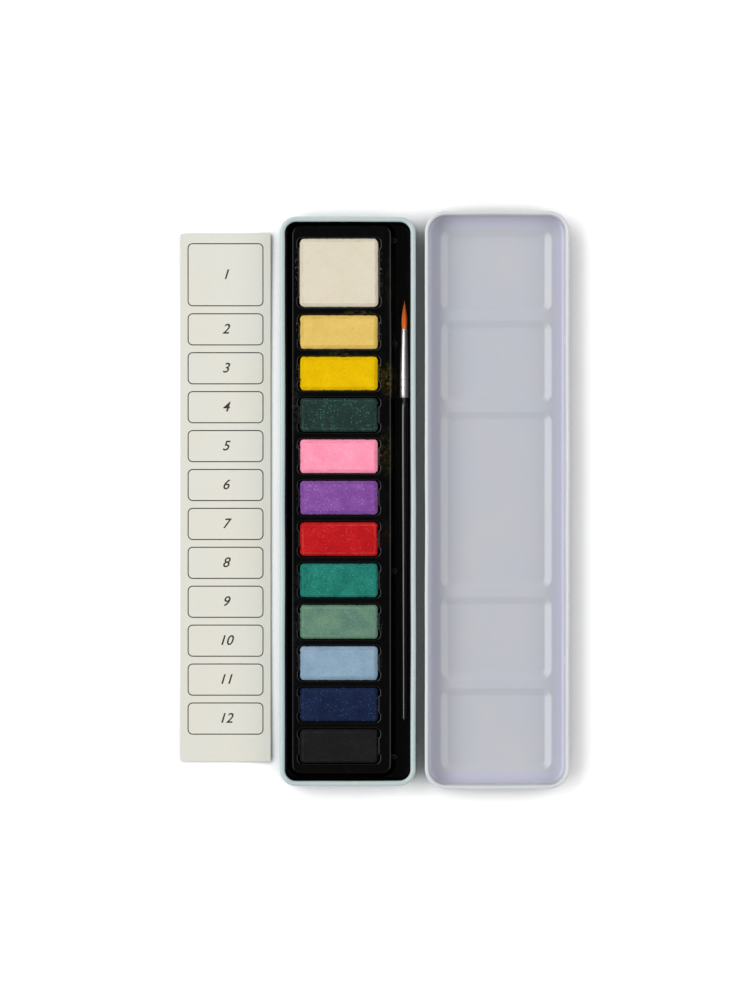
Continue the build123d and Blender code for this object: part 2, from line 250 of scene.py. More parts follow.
def outline(half_width, half_length, corner, across_steps, along_steps, middle=(0.0, 0.0)):
    """A rounded rectangle, anticlockwise, always with as many points for the same steps."""
    reach_x, reach_y = half_width - corner, half_length - corner
    quarters = ((1, 1), (-1, 1), (-1, -1), (1, -1))

    def on_corner(number, share):
        side, end = quarters[number % 4]
        bearing = (number + share) * math.pi / 2
        return Vector((side * reach_x + corner * math.cos(bearing),
                       end * reach_y + corner * math.sin(bearing)))

    points = []
    for number in range(4):
        points += [on_corner(number, step / CORNER_STEPS) for step in range(CORNER_STEPS + 1)]
        start, finish = points[-1], on_corner(number + 1, 0)
        steps = across_steps if number % 2 == 0 else along_steps
        points += [start.lerp(finish, step / steps) for step in range(1, steps)]
    return [point + Vector(middle) for point in points]


def circle(radius, count):
    """The points of a circle round (0, 0)."""
    bearings = [math.tau * step / count for step in range(count)]
    return [Vector((math.cos(bearing), math.sin(bearing))) * radius for bearing in bearings]


def eased(*corners):
    """A profile through (offset, height, radius) corners, with each radius drawn as a soft bend."""
    points = []
    for number, (offset, height, radius) in enumerate(corners):
        here = Vector((offset, height))
        if radius == 0 or number in (0, len(corners) - 1):
            points.append(here)
            continue
        before = Vector(corners[number - 1][:2])
        after = Vector(corners[number + 1][:2])
        start = here + (before - here).normalized() * radius
        finish = here + (after - here).normalized() * radius
        for step in range(BEND_STEPS + 1):
            share = step / BEND_STEPS
            points.append(start.lerp(here, share).lerp(here.lerp(finish, share), share))
    return points


print("points in an outline", len(outline(10 * MM, 20 * MM, 2 * MM, 16, 90)))

# %% Laying rings and filling levels
LEVEL = 0.999


def join_rings(bm, rings):
    """Bands of quads from each ring to the next. All have as many points."""
    for lower, upper in zip(rings, rings[1:]):
        for here in range(len(lower)):
            beyond = (here + 1) % len(lower)
            bm.faces.new((lower[here], lower[beyond], upper[beyond], upper[here]))


def join_rows(bm, rows):
    """Quads between rows of points that are open at both ends."""
    for lower, upper in zip(rows, rows[1:]):
        for here in range(len(lower) - 1):
            bm.faces.new((lower[here], lower[here + 1], upper[here + 1], upper[here]))


def sweep(bm, make_outline, profile):
    """Carries a profile of (offset, height) round an outline. Returns its first and last ring."""
    rings = [[bm.verts.new((*point, height)) for point in make_outline(offset)] for offset, height in profile]
    join_rings(bm, rings)
    return rings[0], rings[-1]


def fill_level(bm, *rings):
    """Fills the flat level inside the first ring and outside the others."""
    edges = []
    for ring in rings:
        for here, vert in enumerate(ring):
            beyond = ring[(here + 1) % len(ring)]
            edges.append(bm.edges.get((vert, beyond)) or bm.edges.new((vert, beyond)))
    bmesh.ops.triangle_fill(bm, use_beauty=True, edges=edges, normal=(0, 0, 1))


def face_up(bm, upward=True):
    """Points all faces the same way, so that the widest flat level faces up, or down."""
    bmesh.ops.recalc_face_normals(bm, faces=bm.faces)
    flat = [face for face in bm.faces if abs(face.normal.z) > LEVEL]
    total = sum(face.calc_area() * face.normal.z for face in flat)
    if (total > 0) != upward:
        bmesh.ops.reverse_faces(bm, faces=bm.faces)


# %% From a sheet to a finished piece
def plain(piece):
    """Applies what is left on a piece, such as modifiers, and keeps the plain mesh."""
    bpy.context.view_layer.update()
    graph = bpy.context.evaluated_depsgraph_get()
    mesh = bpy.data.meshes.new_from_object(piece.evaluated_get(graph), depsgraph=graph)
    mesh.name = piece.name
    piece.modifiers.clear()
    piece.data = mesh
    return piece


def finished(bm, name, material, *modifiers):
    """Turns the faces into an object, applies its modifiers and leaves a plain smooth mesh."""
    mesh = bpy.data.meshes.new(name)
    bm.to_mesh(mesh)
    bm.free()
    mesh.materials.append(material)
    mesh.polygons.foreach_set("use_smooth", [True] * len(mesh.polygons))
    piece = new_piece(name, mesh)
    for kind, settings in modifiers:
        modifier = piece.modifiers.new(kind.lower(), kind)
        for key, value in settings.items():
            setattr(modifier, key, value)
    return plain(piece)


def dress(piece, body, slot, *nodes):
    """The piece rides on its body and stands for its CAD nodes."""
    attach(piece, body)
    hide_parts(*nodes)
    print(piece.name, len(piece.data.polygons), "faces")
    return piece


def of_sheet(thickness):
    """The Solidify settings of a sheet whose drawn side stays where it is."""
    return ("SOLIDIFY", {"thickness": thickness, "offset": -1.0, "use_even_offset": True,
                         "use_quality_normals": True})


# %% [markdown]
# ## Materials
# Each finish is named for what it really is. They all read Object coordinates, which are metres of the
# real set, so a pattern's scale follows from its size in millimetres. Two patterns follow an attribute of
# the mesh instead: the lid's painted shade and light, and how far inside its edge each point of a cake is.

# %% What the finishes share
def new_material(name, **plain_values):
    """A material whose one shader has these plain values. Returns it, its tree and its shader."""
    material = bpy.data.materials.new(name)
    material.use_nodes = True
    tree = material.node_tree
    tree.nodes.clear()
    shader = add_node(tree, "ShaderNodeBsdfPrincipled", **plain_values)
    add_node(tree, "ShaderNodeOutputMaterial", Surface=shader)
    return material, tree, shader


def grain(tree, size, detail=2.0, roughness=0.5, stretch=(1, 1, 1)):
    """Noise whose patches are about this size in metres, drawn out where stretch is below 1."""
    place = add_node(tree, "ShaderNodeTexCoord").outputs["Object"]
    drawn_out = add_node(tree, "ShaderNodeMapping", Vector=place, Scale=stretch)
    return add_node(tree, "ShaderNodeTexNoise", Vector=drawn_out, Scale=1 / size, Detail=detail,
                    Roughness=roughness)


def raised(tree, *layers):
    """Bump from layers of (pattern, height in metres), one on the other. Returns the last."""
    below = {}
    for pattern, height in layers:
        bump = add_node(tree, "ShaderNodeBump", Height=pattern, Distance=height, Strength=1.0, **below)
        below = {"Normal": bump}
    return bump


# %% [markdown]
# ## Enamel
# The tin and the lid are tinplate, coated flat by rollers, baked, and only then drawn to shape. The enamel
# is satin with a fine orange peel. On the lid the panel round the wells is painted a lighter, bluer lilac,
# the painted tint of its shade, and the wall and the curl a paler tone, which is painted light. Each point
# of the lid's mesh says how much: 1 for the painted shade on the panel, -1 for the painted light up the wall.

# %% Stoving enamel on tinplate
# Where the lid's painted shade tint and painted wall light lie
PAINTED_TINT_ATTRIBUTE = "pooled_enamel"
CLOUD_SIZE = 42 * MM
DRIFT_SIZE = 17 * MM
PEEL_SIZE = 1.1 * MM
PEEL_HEIGHT = 0.003 * MM
SMEAR_SIZE = 9 * MM
WAVE_SIZE = 22 * MM
WAVE_HEIGHT = 0.02 * MM


def stoved_enamel(name, colour, warm, cool, roughness, shade_tint=None, thin=None):
    """Roller-coated and baked enamel in a colour that drifts to a warmer and a cooler one, with painted shade
    and light.
    """
    material, tree, shader = new_material(name, Base_Color=colour, Roughness=roughness, IOR=1.5)
    clouds = add_node(tree, "ShaderNodeMapRange", grain(tree, CLOUD_SIZE, 3), 0.36, 0.64, 0, 1)
    tone = add_node(tree, "ShaderNodeMix", clouds, cool, colour, data_type="RGBA")
    drift = grain(tree, DRIFT_SIZE, 2, stretch=(1, 0.6, 1))
    drift = add_node(tree, "ShaderNodeMapRange", drift, 0.42, 0.66, 0, 0.8)
    tone = add_node(tree, "ShaderNodeMix", drift, tone, warm, data_type="RGBA")
    # Painted shade and light: a lighter, bluer lilac on the panel round the wells and a paler tone up the
    # wall
    if shade_tint:
        tint_place = add_node(tree, "ShaderNodeAttribute", attribute_name=PAINTED_TINT_ATTRIBUTE).outputs["Fac"]
        for full, painted_tint in ((1, shade_tint), (-1, thin)):
            share = add_node(tree, "ShaderNodeMapRange", tint_place, 0, full, 0, 1)
            tone = add_node(tree, "ShaderNodeMix", share, tone, painted_tint, data_type="RGBA")
    smears = add_node(tree, "ShaderNodeMapRange", grain(tree, SMEAR_SIZE, 4), 0.3, 0.7, roughness - 0.03,
                      roughness + 0.05)
    peel = raised(tree, (grain(tree, PEEL_SIZE, 1), PEEL_HEIGHT), (grain(tree, WAVE_SIZE, 1), WAVE_HEIGHT))
    fill_sockets(tree, shader, Base_Color=tone, Roughness=smears, Normal=peel)
    return material


# The lilac's shade tint and wall light tint are painted shade and painted light
lilac_enamel = stoved_enamel("lilac_white_stoving_enamel", "BFC1C8", "C2C1C8", "BCC0C9", 0.2,
                             shade_tint="C6C6D7", thin="D7D9DC")
mint_enamel = stoved_enamel("ice_mint_stoving_enamel", "BDCDCD", "BFCECD", "BBCBCD", 0.24)
print("finishes", lilac_enamel.name, mint_enamel.name)

# %% [markdown]
# ## Formed polystyrene
# The tray is high-impact polystyrene sheet, black in the mass, softened by heat and drawn over a mould. It
# comes off the mould glossy, and handling rubs it unevenly. Paint powder settles on it near the cakes.

# %% Thermoformed polystyrene
BLACK = "030304"
RUB_SIZE = 3.2 * MM
SAG_SIZE = 6 * MM
SAG_HEIGHT = 0.012 * MM
POWDER_SIZE = 1.7 * MM

# Loose powder on the tray: its colour, its middle and its reach in millimetres, and how much of it
DUST = (
    ("A88E10", (16.0, 47.0), (4.0, 8.0), 0.4),
    ("A08C48", (4.0, 72.5), (7.0, 1.6), 0.5),
    ("6D6A18", (15.5, 19.0), (5.0, 11.0), 0.35),
    ("6F6438", (-3.0, 57.0), (9.0, 2.0), 0.35),
    ("5A5A60", (-21.0, 38.0), (4.0, 14.0), 0.3),
    ("54381C", (15.5, -12.0), (3.5, 7.0), 0.35),
    ("3E4448", (0.0, -26.0), (16.0, 4.0), 0.25),
    ("3A3A40", (-3.0, 0.0), (15.0, 3.0), 0.4),
    ("3C3C44", (-20.5, -50.0), (4.0, 30.0), 0.3),
    ("5C5A44", (17.0, 82.0), (3.0, 18.0), 0.3),
)


def dusted(tree, tone, dust, middle, reach, amount):
    """Lays a cloud of loose paint powder round a point over a tone."""
    place = add_node(tree, "ShaderNodeTexCoord").outputs["Object"]
    centred = add_node(tree, "ShaderNodeMapping", Vector=place,
                       Location=(-middle[0] / reach[0], -middle[1] / reach[1], 0),
                       Scale=(1 / (reach[0] * MM), 1 / (reach[1] * MM), 0))
    distance = add_node(tree, "ShaderNodeVectorMath", centred, operation="LENGTH")
    near = add_node(tree, "ShaderNodeMapRange", distance, 0.1, 1.0, amount, 0)
    powder = grain(tree, POWDER_SIZE, 6, 0.75)
    patches = add_node(tree, "ShaderNodeMapRange", powder, 0.45, 0.75, 0, 1)
    share = add_node(tree, "ShaderNodeMath", near, patches, operation="MULTIPLY")
    return add_node(tree, "ShaderNodeMix", share, tone, dust, data_type="RGBA")


def formed_polystyrene():
    """Black high-impact polystyrene sheet: glossy, with fine rubs and paint dust."""
    material, tree, shader = new_material("black_formed_polystyrene", Base_Color=BLACK, Roughness=0.16,
                                          IOR=1.55, Specular_IOR_Level=0.35)
    rubs = grain(tree, RUB_SIZE, 5, 0.65, (1, 0.6, 1))
    patchy = add_node(tree, "ShaderNodeMapRange", rubs, 0.55, 0.8, 0, 0.5)
    tone = add_node(tree, "ShaderNodeMix", patchy, BLACK, "0B0B0D", data_type="RGBA")
    for dust in DUST:
        tone = dusted(tree, tone, *dust)
    fill_sockets(tree, shader, Base_Color=tone, Normal=raised(tree, (grain(tree, SAG_SIZE), SAG_HEIGHT)),
                 Roughness=add_node(tree, "ShaderNodeMapRange", rubs, 0.35, 0.75, 0.11, 0.22))
    return material


black_tray = formed_polystyrene()
print("finish", black_tray.name, "with", len(DUST), "clouds of dust")

# %% [markdown]
# ## Pressed paint
# A cake is pigment and gum, milled, dried and pressed in a die. It is dead matt. The eye sees its powder
# grain, clouds of a lighter and a darker tone, specks that the mill left, and a crease round its shoulder
# where the die's step pressed it. Along the crease a line is painted in patches: darker than the paint on
# some cakes, which is painted shade, and lighter on others, which is a painted highlight. A lighter band,
# also in patches, runs along the outer edge. The grain of milled pigment is far finer than shows here, so
# it is drawn at half a millimetre, which is what the picture can hold.

# %% Specks
CROWD_SIZE = 6 * MM
SPECK_EDGE = (0.17, 0.31)
FAINTEST = 0.3


def specks(tree, cell, share, amount):
    """Round unmilled specks in this share of the cells: up to amount in a speck, and 0 between them."""
    place = add_node(tree, "ShaderNodeTexCoord").outputs["Object"]
    cells = add_node(tree, "ShaderNodeTexVoronoi", Vector=place, Scale=1 / cell).outputs
    spot = add_node(tree, "ShaderNodeMapRange", cells["Distance"], *SPECK_EDGE, 1, 0)
    chance = add_node(tree, "ShaderNodeSeparateColor", cells["Color"]).outputs
    crowd = add_node(tree, "ShaderNodeMapRange", grain(tree, CROWD_SIZE, 1), 0.35, 0.65,
                     0.3 * share, 1.7 * share)
    chosen = add_node(tree, "ShaderNodeMath", chance["Red"], crowd, operation="LESS_THAN")
    strong = add_node(tree, "ShaderNodeMapRange", chance["Green"], 0, 1, FAINTEST * amount, amount)
    seen = add_node(tree, "ShaderNodeMath", spot, chosen, operation="MULTIPLY")
    return add_node(tree, "ShaderNodeMath", seen, strong, operation="MULTIPLY")


# %% Pigment and gum
EDGE = "distance_from_edge"
CREASE_PLACE = 1.1 * MM
CREASE_REACH = 0.3 * MM
CREASE_CORE = 0.06 * MM
CREASE_HEIGHT = 0.07 * MM
RIM = (0.05 * MM, 0.35 * MM)
GRAIN_SIZE = 0.48 * MM
GRAIN_HEIGHT = 0.06 * MM
MOTTLE_SIZE = 5.5 * MM
MOTTLE_HEIGHT = 0.08 * MM
PATCHY_SIZE = 3 * MM
COARSE_SPECK = 0.66 * MM
FINE_SPECK = 0.4 * MM


# worn is the tone of the line painted along the crease: painted shade where darker than the paint, a painted
# highlight where lighter
def pressed_paint(name, colour, light, dark, speck, speck_share, worn):
    """Watercolour pigment and gum, milled and pressed: dead matt, with painted light and shade along its
    crease.
    """
    material, tree, shader = new_material(name, Base_Color=colour, Roughness=0.86, IOR=1.45,
                                          Specular_IOR_Level=0.08)
    mottle = grain(tree, MOTTLE_SIZE, 4, 0.6)
    powder = grain(tree, GRAIN_SIZE, 3, 0.75)
    inside = add_node(tree, "ShaderNodeAttribute", attribute_name=EDGE).outputs["Fac"]
    from_crease = add_node(tree, "ShaderNodeMath", inside, CREASE_PLACE, operation="SUBTRACT")
    from_crease = add_node(tree, "ShaderNodeMath", from_crease, operation="ABSOLUTE")
    level = add_node(tree, "ShaderNodeMapRange", from_crease, 0.0, CREASE_REACH, 0, 1)
    # The painted line of shade and highlight along the crease
    crease = add_node(tree, "ShaderNodeMapRange", from_crease, CREASE_CORE, CREASE_REACH, 0.9, 0)
    # A lighter band along the outer edge
    rim = add_node(tree, "ShaderNodeMapRange", inside, *RIM, 0.6, 0)
    patchy = add_node(tree, "ShaderNodeMapRange", grain(tree, PATCHY_SIZE, 3), 0.38, 0.6, 0.15, 1)

    # Where each tone lies over the ones before it
    layers = (
        (add_node(tree, "ShaderNodeMapRange", powder, 0.5, 0.7, 0, 1), light),
        (add_node(tree, "ShaderNodeMapRange", powder, 0.5, 0.3, 0, 1), dark),
        # The line of painted shade and highlight along the crease, in patches
        (add_node(tree, "ShaderNodeMath", crease, patchy, operation="MULTIPLY"), worn),
        # The lighter band along the outer edge, in patches
        (add_node(tree, "ShaderNodeMath", rim, patchy, operation="MULTIPLY"), light),
        (specks(tree, COARSE_SPECK, speck_share, 1.0), speck),
        (specks(tree, FINE_SPECK, speck_share, 0.5), speck),
    )
    clouds = add_node(tree, "ShaderNodeMapRange", mottle, 0.3, 0.7, 0, 1)
    tone = add_node(tree, "ShaderNodeMix", clouds, dark, light, data_type="RGBA")
    for share, over in layers:
        tone = add_node(tree, "ShaderNodeMix", share, tone, over, data_type="RGBA")
    rough = raised(tree, (powder, GRAIN_HEIGHT), (mottle, MOTTLE_HEIGHT), (level, CREASE_HEIGHT))
    fill_sockets(tree, shader, Base_Color=tone, Normal=rough)
    return material


# For each cake: its paint as it looks, its lighter and darker grain, its specks and how many cells have one,
# and the tone of its crease line: painted shade where darker than the paint, a painted highlight where
# lighter
PAINTS = {
    "cake_white": ("DED4BF", "E1D8C4", "DAD0BA", "A79A80", 0.02, "C9BFA8"),
    "cake_light_yellow": ("E2C168", "E8C771", "DAB85E", "A8873C", 0.05, "C9A54C"),
    "cake_yellow": ("E5BA00", "EEC300", "DBAE00", "B48A02", 0.10, "CFA200"),
    "cake_forest_green": ("233531", "2A3D39", "1D2D2A", "4FA78C", 0.34, "3B524C"),
    "cake_rose": ("FE99B5", "FFA4C0", "FA8DA9", "FFD0C0", 0.16, "F07F9C"),
    "cake_purple": ("824D99", "8F59A6", "734290", "C9A2DA", 0.34, "6A3B84"),
    "cake_crimson": ("B9151B", "C41C21", "AB1118", "DE5A4C", 0.26, "C9463C"),
    "cake_teal_green": ("1F786B", "288677", "16665A", "63B39C", 0.36, "33887A"),
    "cake_sea_green": ("5F8471", "729279", "50786B", "36564A", 0.28, "7D9C84"),
    "cake_sky_blue": ("8AA4B7", "94ADC1", "7F99AF", "5F7589", 0.12, "7A94AC"),
    "cake_navy": ("17213D", "1C2746", "131B35", "2F74B4", 0.24, "25304F"),
    "cake_black": ("1A1A1B", "1F1F20", "161617", "3E4252", 0.10, "2A2A2B"),
}
paints = {node: pressed_paint("pressed_" + node[5:] + "_paint", *values) for node, values in PAINTS.items()}
print("paints", len(paints))

# %% [markdown]
# ## The brush's finishes
# The ferrule is drawn brass tube plated with bright nickel, the handle is birch turned and dipped in
# cellulose lacquer, and the hair is polyester filament with tapered tips, dyed the orange of sable. Drawing
# and turning leave lines along the brush, so each pattern is drawn out along it.

# %% Nickel, lacquer and filament
def nickel_plate():
    """Bright nickel on drawn brass tube: a hard mirror with faint draw lines along its length."""
    material, tree, shader = new_material("nickel_plated_brass", Base_Color="F6F5F6", Roughness=0.48,
                                          Metallic=1.0)
    lines = grain(tree, 0.6 * MM, stretch=(1, 0.02, 1))
    fill_sockets(tree, shader, Roughness=add_node(tree, "ShaderNodeMapRange", lines, 0.3, 0.7, 0.42, 0.54),
                 Normal=raised(tree, (lines, 0.002 * MM)))
    return material


def lacquered_birch():
    """Turned birch dipped in black cellulose lacquer: deep gloss, slightly uneven over the grain."""
    material, tree, shader = new_material("black_lacquered_birch", Base_Color="0B0B0C", Roughness=0.28,
                                          IOR=1.5, Coat_Weight=1.0, Coat_Roughness=0.11)
    wood = grain(tree, 0.9 * MM, 3, stretch=(1, 0.05, 1))
    fill_sockets(tree, shader, Normal=raised(tree, (wood, 0.006 * MM)),
                 Base_Color=add_node(tree, "ShaderNodeMix", wood, "09090A", "101011", data_type="RGBA"))
    return material


TIP_DARKENS = (70.5 * MM, 78.3 * MM)


def dyed_filament():
    """Tapered polyester filament, dyed the orange of sable: glossy along each hair, darker at its tip."""
    material, tree, shader = new_material("orange_polyester_filament", Base_Color="FF7412", Roughness=0.45,
                                          IOR=1.5, Specular_IOR_Level=0.5, Sheen_Weight=0.6,
                                          Sheen_Roughness=0.4, Sheen_Tint="FF8A3C")
    place = add_node(tree, "ShaderNodeTexCoord").outputs["Object"]
    along = add_node(tree, "ShaderNodeSeparateXYZ", place).outputs["Y"]
    strands = grain(tree, 0.16 * MM, stretch=(1, 0.04, 1))
    strands = add_node(tree, "ShaderNodeMapRange", strands, 0.3, 0.7, 0, 1)
    lit = add_node(tree, "ShaderNodeMix", strands, "FF6C0C", "FF9632", data_type="RGBA")
    tip = add_node(tree, "ShaderNodeMapRange", along, *TIP_DARKENS, 0, 1)
    tone = add_node(tree, "ShaderNodeMix", tip, lit, "D2560C", data_type="RGBA")
    fill_sockets(tree, shader, Base_Color=tone)
    return material


nickel = nickel_plate()
black_wood = lacquered_birch()
filament = dyed_filament()
print("finishes", nickel.name, black_wood.name, filament.name)

# %% [markdown]
# ## Card and print
# The card is uncoated bristol board, calendered smooth, so only a faint cloud of fibres shows. The frames
# and numbers are offset ink, a film too thin to feel, which the fibres break up a little.

# %% Board and ink
def smooth_board():
    """Uncoated bristol board, calendered: warm white with a barely visible fibre cloud."""
    material, tree, shader = new_material("uncoated_bristol_board", Base_Color="DDDBCF", Roughness=0.82)
    fibre = grain(tree, 1.4 * MM, 5, 0.65)
    tone = add_node(tree, "ShaderNodeMix", fibre, "DAD7CA", "E0DED3", data_type="RGBA")
    clouds = add_node(tree, "ShaderNodeMapRange", grain(tree, 30 * MM), 0.4, 0.6, 0, 0.5)
    fill_sockets(tree, shader, Normal=raised(tree, (fibre, 0.01 * MM)),
                 Base_Color=add_node(tree, "ShaderNodeMix", clouds, tone, "DCDCD5", data_type="RGBA"))
    return material


def offset_ink():
    """A thin film of warm black offset ink, a little broken by the board's fibres."""
    material, tree, shader = new_material("warm_black_offset_ink", Base_Color="2A1C1C", Roughness=0.6)
    broken = grain(tree, 0.25 * MM)
    fill_sockets(tree, shader, Base_Color=add_node(tree, "ShaderNodeMix", broken, "201414", "382A2A",
                                                   data_type="RGBA"))
    return material


board = smooth_board()
ink = offset_ink()
print("materials", len(bpy.data.materials))

# %% [markdown]
# ## The tin
# The tin is drawn from one sheet and its rim is rolled inwards. The drawn side is the outside, from the
# flat bottom round the bend, up the wall and over the curl. Thin drawn walls are never quite straight, so
# the wall wanders a little, most at its top.

# %% Curls and ripples
SHEET = 0.3 * MM
CURL_TURN = 300
CURL_STEPS = 18
RIPPLE_LENGTH = 38 * MM
RIPPLE_GAIN = 1.6


def rolled(middle, radius, start, turn):
    """The round profile of a curl: offset and height for each step of its turn, in degrees."""
    bearings = [math.radians(start + turn * step / CURL_STEPS) for step in range(CURL_STEPS + 1)]
    return [(middle[0] + radius * math.cos(b), middle[1] + radius * math.sin(b)) for b in bearings]


def ripple(bm, amount, from_height, to_height, middle, seed):
    """Lets the walls wander sideways by up to about amount, growing with height."""
    for vert in bm.verts:
        share = within((vert.co.z - from_height) / (to_height - from_height))
        place = vert.co.xy - middle
        wave = noise.noise(Vector((vert.co.x / RIPPLE_LENGTH, vert.co.y / RIPPLE_LENGTH, seed)))
        vert.co.xy += place.normalized() * amount * share * share * wave * RIPPLE_GAIN


# %% Drawn tin with an inward curl
_, tin_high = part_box("tin_base")
TIN_HALF_WIDTH, TIN_HALF_LENGTH, TIN_TOP = tin_high
TIN_CORNER = 6.3 * MM
TIN_BEND = 1.3 * MM
TIN_BOTTOM_EDGE = -4 * MM
TIN_CURL = 2.0 * MM
TIN_RIPPLE = 0.28 * MM
TIN_STIFF = 2 * MM
TIN_SEED = 3.0
WALL_SHARES = (0.3, 0.5, 0.7, 0.9)
TIN_STEPS = (16, 90)


def drawn_tin():
    bm = bmesh.new()
    wall_top = TIN_TOP - TIN_CURL / 2
    profile = eased((TIN_BOTTOM_EDGE, 0, 0), (0, 0, TIN_BEND), (0, wall_top, 0))[:-1]
    profile += [(0, wall_top * share) for share in WALL_SHARES]
    profile += rolled((-TIN_CURL / 2, wall_top), TIN_CURL / 2, 0, CURL_TURN)

    def wall(offset):
        return outline(TIN_HALF_WIDTH + offset, TIN_HALF_LENGTH + offset, TIN_CORNER + offset, *TIN_STEPS)

    inner, _ = sweep(bm, wall, profile)
    fill_level(bm, inner)
    face_up(bm, upward=False)
    ripple(bm, TIN_RIPPLE, TIN_STIFF, TIN_TOP, Vector((0, 0)), TIN_SEED)
    return finished(bm, "lacquered_tin", mint_enamel, of_sheet(SHEET))


dress(drawn_tin(), "tin", "tin_lacquer", "tin_base")

# %% [markdown]
# ## The lid
# On its back the lid is a palette. Its panel carries five shallow wells with sloping sides, its wall turns
# up through a bend and its rim rolls outwards. Two dimples in each long wall grip the tin when it is shut.
# Here the drawn side is the inside, which is the one that shows.

# %% The lid's sizes
lid_low, lid_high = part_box("mixing_lid")
LID_MIDDLE = (lid_low.xy + lid_high.xy) / 2
LID_TOP = lid_high.z
LID_CURL = 1.5 * MM
LID_HALF_WIDTH = (lid_high.x - lid_low.x) / 2 - LID_CURL
LID_HALF_LENGTH = (lid_high.y - lid_low.y) / 2 - LID_CURL
LID_CORNER = TIN_CORNER + 0.25 * MM
LID_BEND = 1.6 * MM
LID_PANEL_EDGE = -2.6 * MM
LID_WALL_BANDS = 8
LID_STEPS = (20, 170)
LID_RIPPLE = 0.22 * MM
LID_SEED = 11.0
WELL_LENGTHS = [length * MM for length in (32.0, 32.0, 68.5, 32.0, 32.0)]
WELL_HALF_WIDTH = 21.55 * MM
WELL_DEPTH = 1.3 * MM
WELL_SLOPE = 2.8 * MM
WELL_CORNER = 4.0 * MM
WELL_BRIM = 0.9 * MM
WELL_BEND = 0.5 * MM
WELL_STEPS = (16, 16)
SHARPEST_CORNER = 0.3 * MM
RIDGE = 3.4 * MM
WELLS_END = (sum(WELL_LENGTHS) + RIDGE * (len(WELL_LENGTHS) - 1)) / 2
PANEL = SHEET + WELL_DEPTH
DIMPLE_PLACE = 62 * MM
DIMPLE_RADIUS = 2.6 * MM
DIMPLE_DEPTH = 0.45 * MM
# How far the painted shade tint eases in from the wells, and how fast painted light takes over up the wall
TINT_EASE = 1.5 * MM
WALL_TINT_RATE = 4
print("the panel is", round(PANEL / MM, 2), "mm high and the wells end at", round(WELLS_END / MM, 2), "mm")


# %% Drawn lid with five wells
def press_dimples(bm):
    """Pushes the long walls in at four places."""
    for vert in bm.verts:
        place = vert.co.xy - LID_MIDDLE
        if abs(place.x) < LID_HALF_WIDTH - 0.2 * MM or vert.co.z < PANEL + 1 * MM:
            continue
        away = math.hypot(abs(place.y) - DIMPLE_PLACE, vert.co.z - (PANEL + LID_TOP) / 2)
        share = max(0.0, 1 - (away / DIMPLE_RADIUS) ** 2)
        vert.co.x -= math.copysign(DIMPLE_DEPTH * share, place.x)


def thicken_film(bm):
    """Notes the painted shade tint, 1 on the panel round the wells, and the painted light, -1 up the wall."""
    painted_tint = bm.verts.layers.float.new(PAINTED_TINT_ATTRIBUTE)
    for vert in bm.verts:
        place = vert.co.xy - LID_MIDDLE
        outside = max(abs(place.x) - WELL_HALF_WIDTH, abs(place.y) - WELLS_END)
        climbed = within((vert.co.z - PANEL) / (LID_TOP - LID_CURL - PANEL))
        vert[painted_tint] = within(outside / TINT_EASE) * max(-1.0, 1 - WALL_TINT_RATE * climbed)


def drawn_lid():
    bm = bmesh.new()
    wall_top = LID_TOP - LID_CURL / 2
    profile = eased((LID_PANEL_EDGE, PANEL, 0), (0, PANEL, LID_BEND), (0, wall_top, 0))[:-1]
    foot = profile[-1][1]
    profile += [(0, foot + (wall_top - foot) * step / LID_WALL_BANDS) for step in range(1, LID_WALL_BANDS)]
    profile += rolled((LID_CURL / 2, wall_top), LID_CURL / 2, 180, -CURL_TURN)

    def wall(offset):
        return outline(LID_HALF_WIDTH + offset, LID_HALF_LENGTH + offset, LID_CORNER + offset, *LID_STEPS,
                       middle=LID_MIDDLE)

    panel_edge, _ = sweep(bm, wall, profile)
    brims = []
    start = WELLS_END
    slope = eased((WELL_BRIM, PANEL, 0), (0, PANEL, WELL_BEND), (-WELL_SLOPE, SHEET, WELL_BEND),
                  (-WELL_SLOPE - WELL_BRIM, SHEET, 0))
    for length in WELL_LENGTHS:
        middle = LID_MIDDLE + Vector((0, start - length / 2))

        def well(offset, length=length, middle=middle):
            return outline(WELL_HALF_WIDTH + offset, length / 2 + offset,
                           max(WELL_CORNER + offset, SHARPEST_CORNER), *WELL_STEPS, middle=middle)

        brim, foot_ring = sweep(bm, well, slope)
        brims.append(brim)
        fill_level(bm, foot_ring)
        start -= length + RIDGE
    fill_level(bm, panel_edge, *brims)
    face_up(bm)
    thicken_film(bm)
    press_dimples(bm)
    ripple(bm, LID_RIPPLE, PANEL, LID_TOP, LID_MIDDLE, LID_SEED)
    return finished(bm, "palette_lid", lilac_enamel, of_sheet(SHEET))


dress(drawn_lid(), "lid", "lid_lacquer", "mixing_lid")

# %% [markdown]
# ## The tray
# The tray is heat-softened sheet drawn over a mould, so every edge is round and mirrors a thin line of
# light. It is a tub with a raised deck, twelve sockets in the deck and the brush's trough beside it. Short
# tabs in each socket's ends locate its cake, and pips on the deck's side keep the brush in.

# %% The tray's sizes
TRAY_SHEET = 0.4 * MM
TRAY_FIT = 0.3 * MM
TUB_INSET = SHEET + TRAY_FIT + TRAY_SHEET
TRAY_FLOOR = SHEET + TRAY_SHEET
TRAY_TOP = TIN_TOP - TIN_CURL - 0.15 * MM
DECK_TOP = TRAY_FLOOR + 6.3 * MM
DECK_HALF_WIDTH = 19.2 * MM
DECK_HALF_LENGTH = 106.0 * MM
DECK_MIDDLE = Vector((-2.5, 0.7)) * MM
DECK_SLOPE = 1.8 * MM
DECK_CORNER = 3.5 * MM
DECK_BEND = 0.7 * MM
SOCKET_FLOOR = DECK_TOP - 4.5 * MM
SOCKET_CORNER = 2.0 * MM
SOCKET_BEND = 0.5 * MM
SOCKET_END_GAP = 0.9 * MM
SOCKET_SIDE_GAP = 0.35 * MM
SOCKET_STEPS = (12, 64)
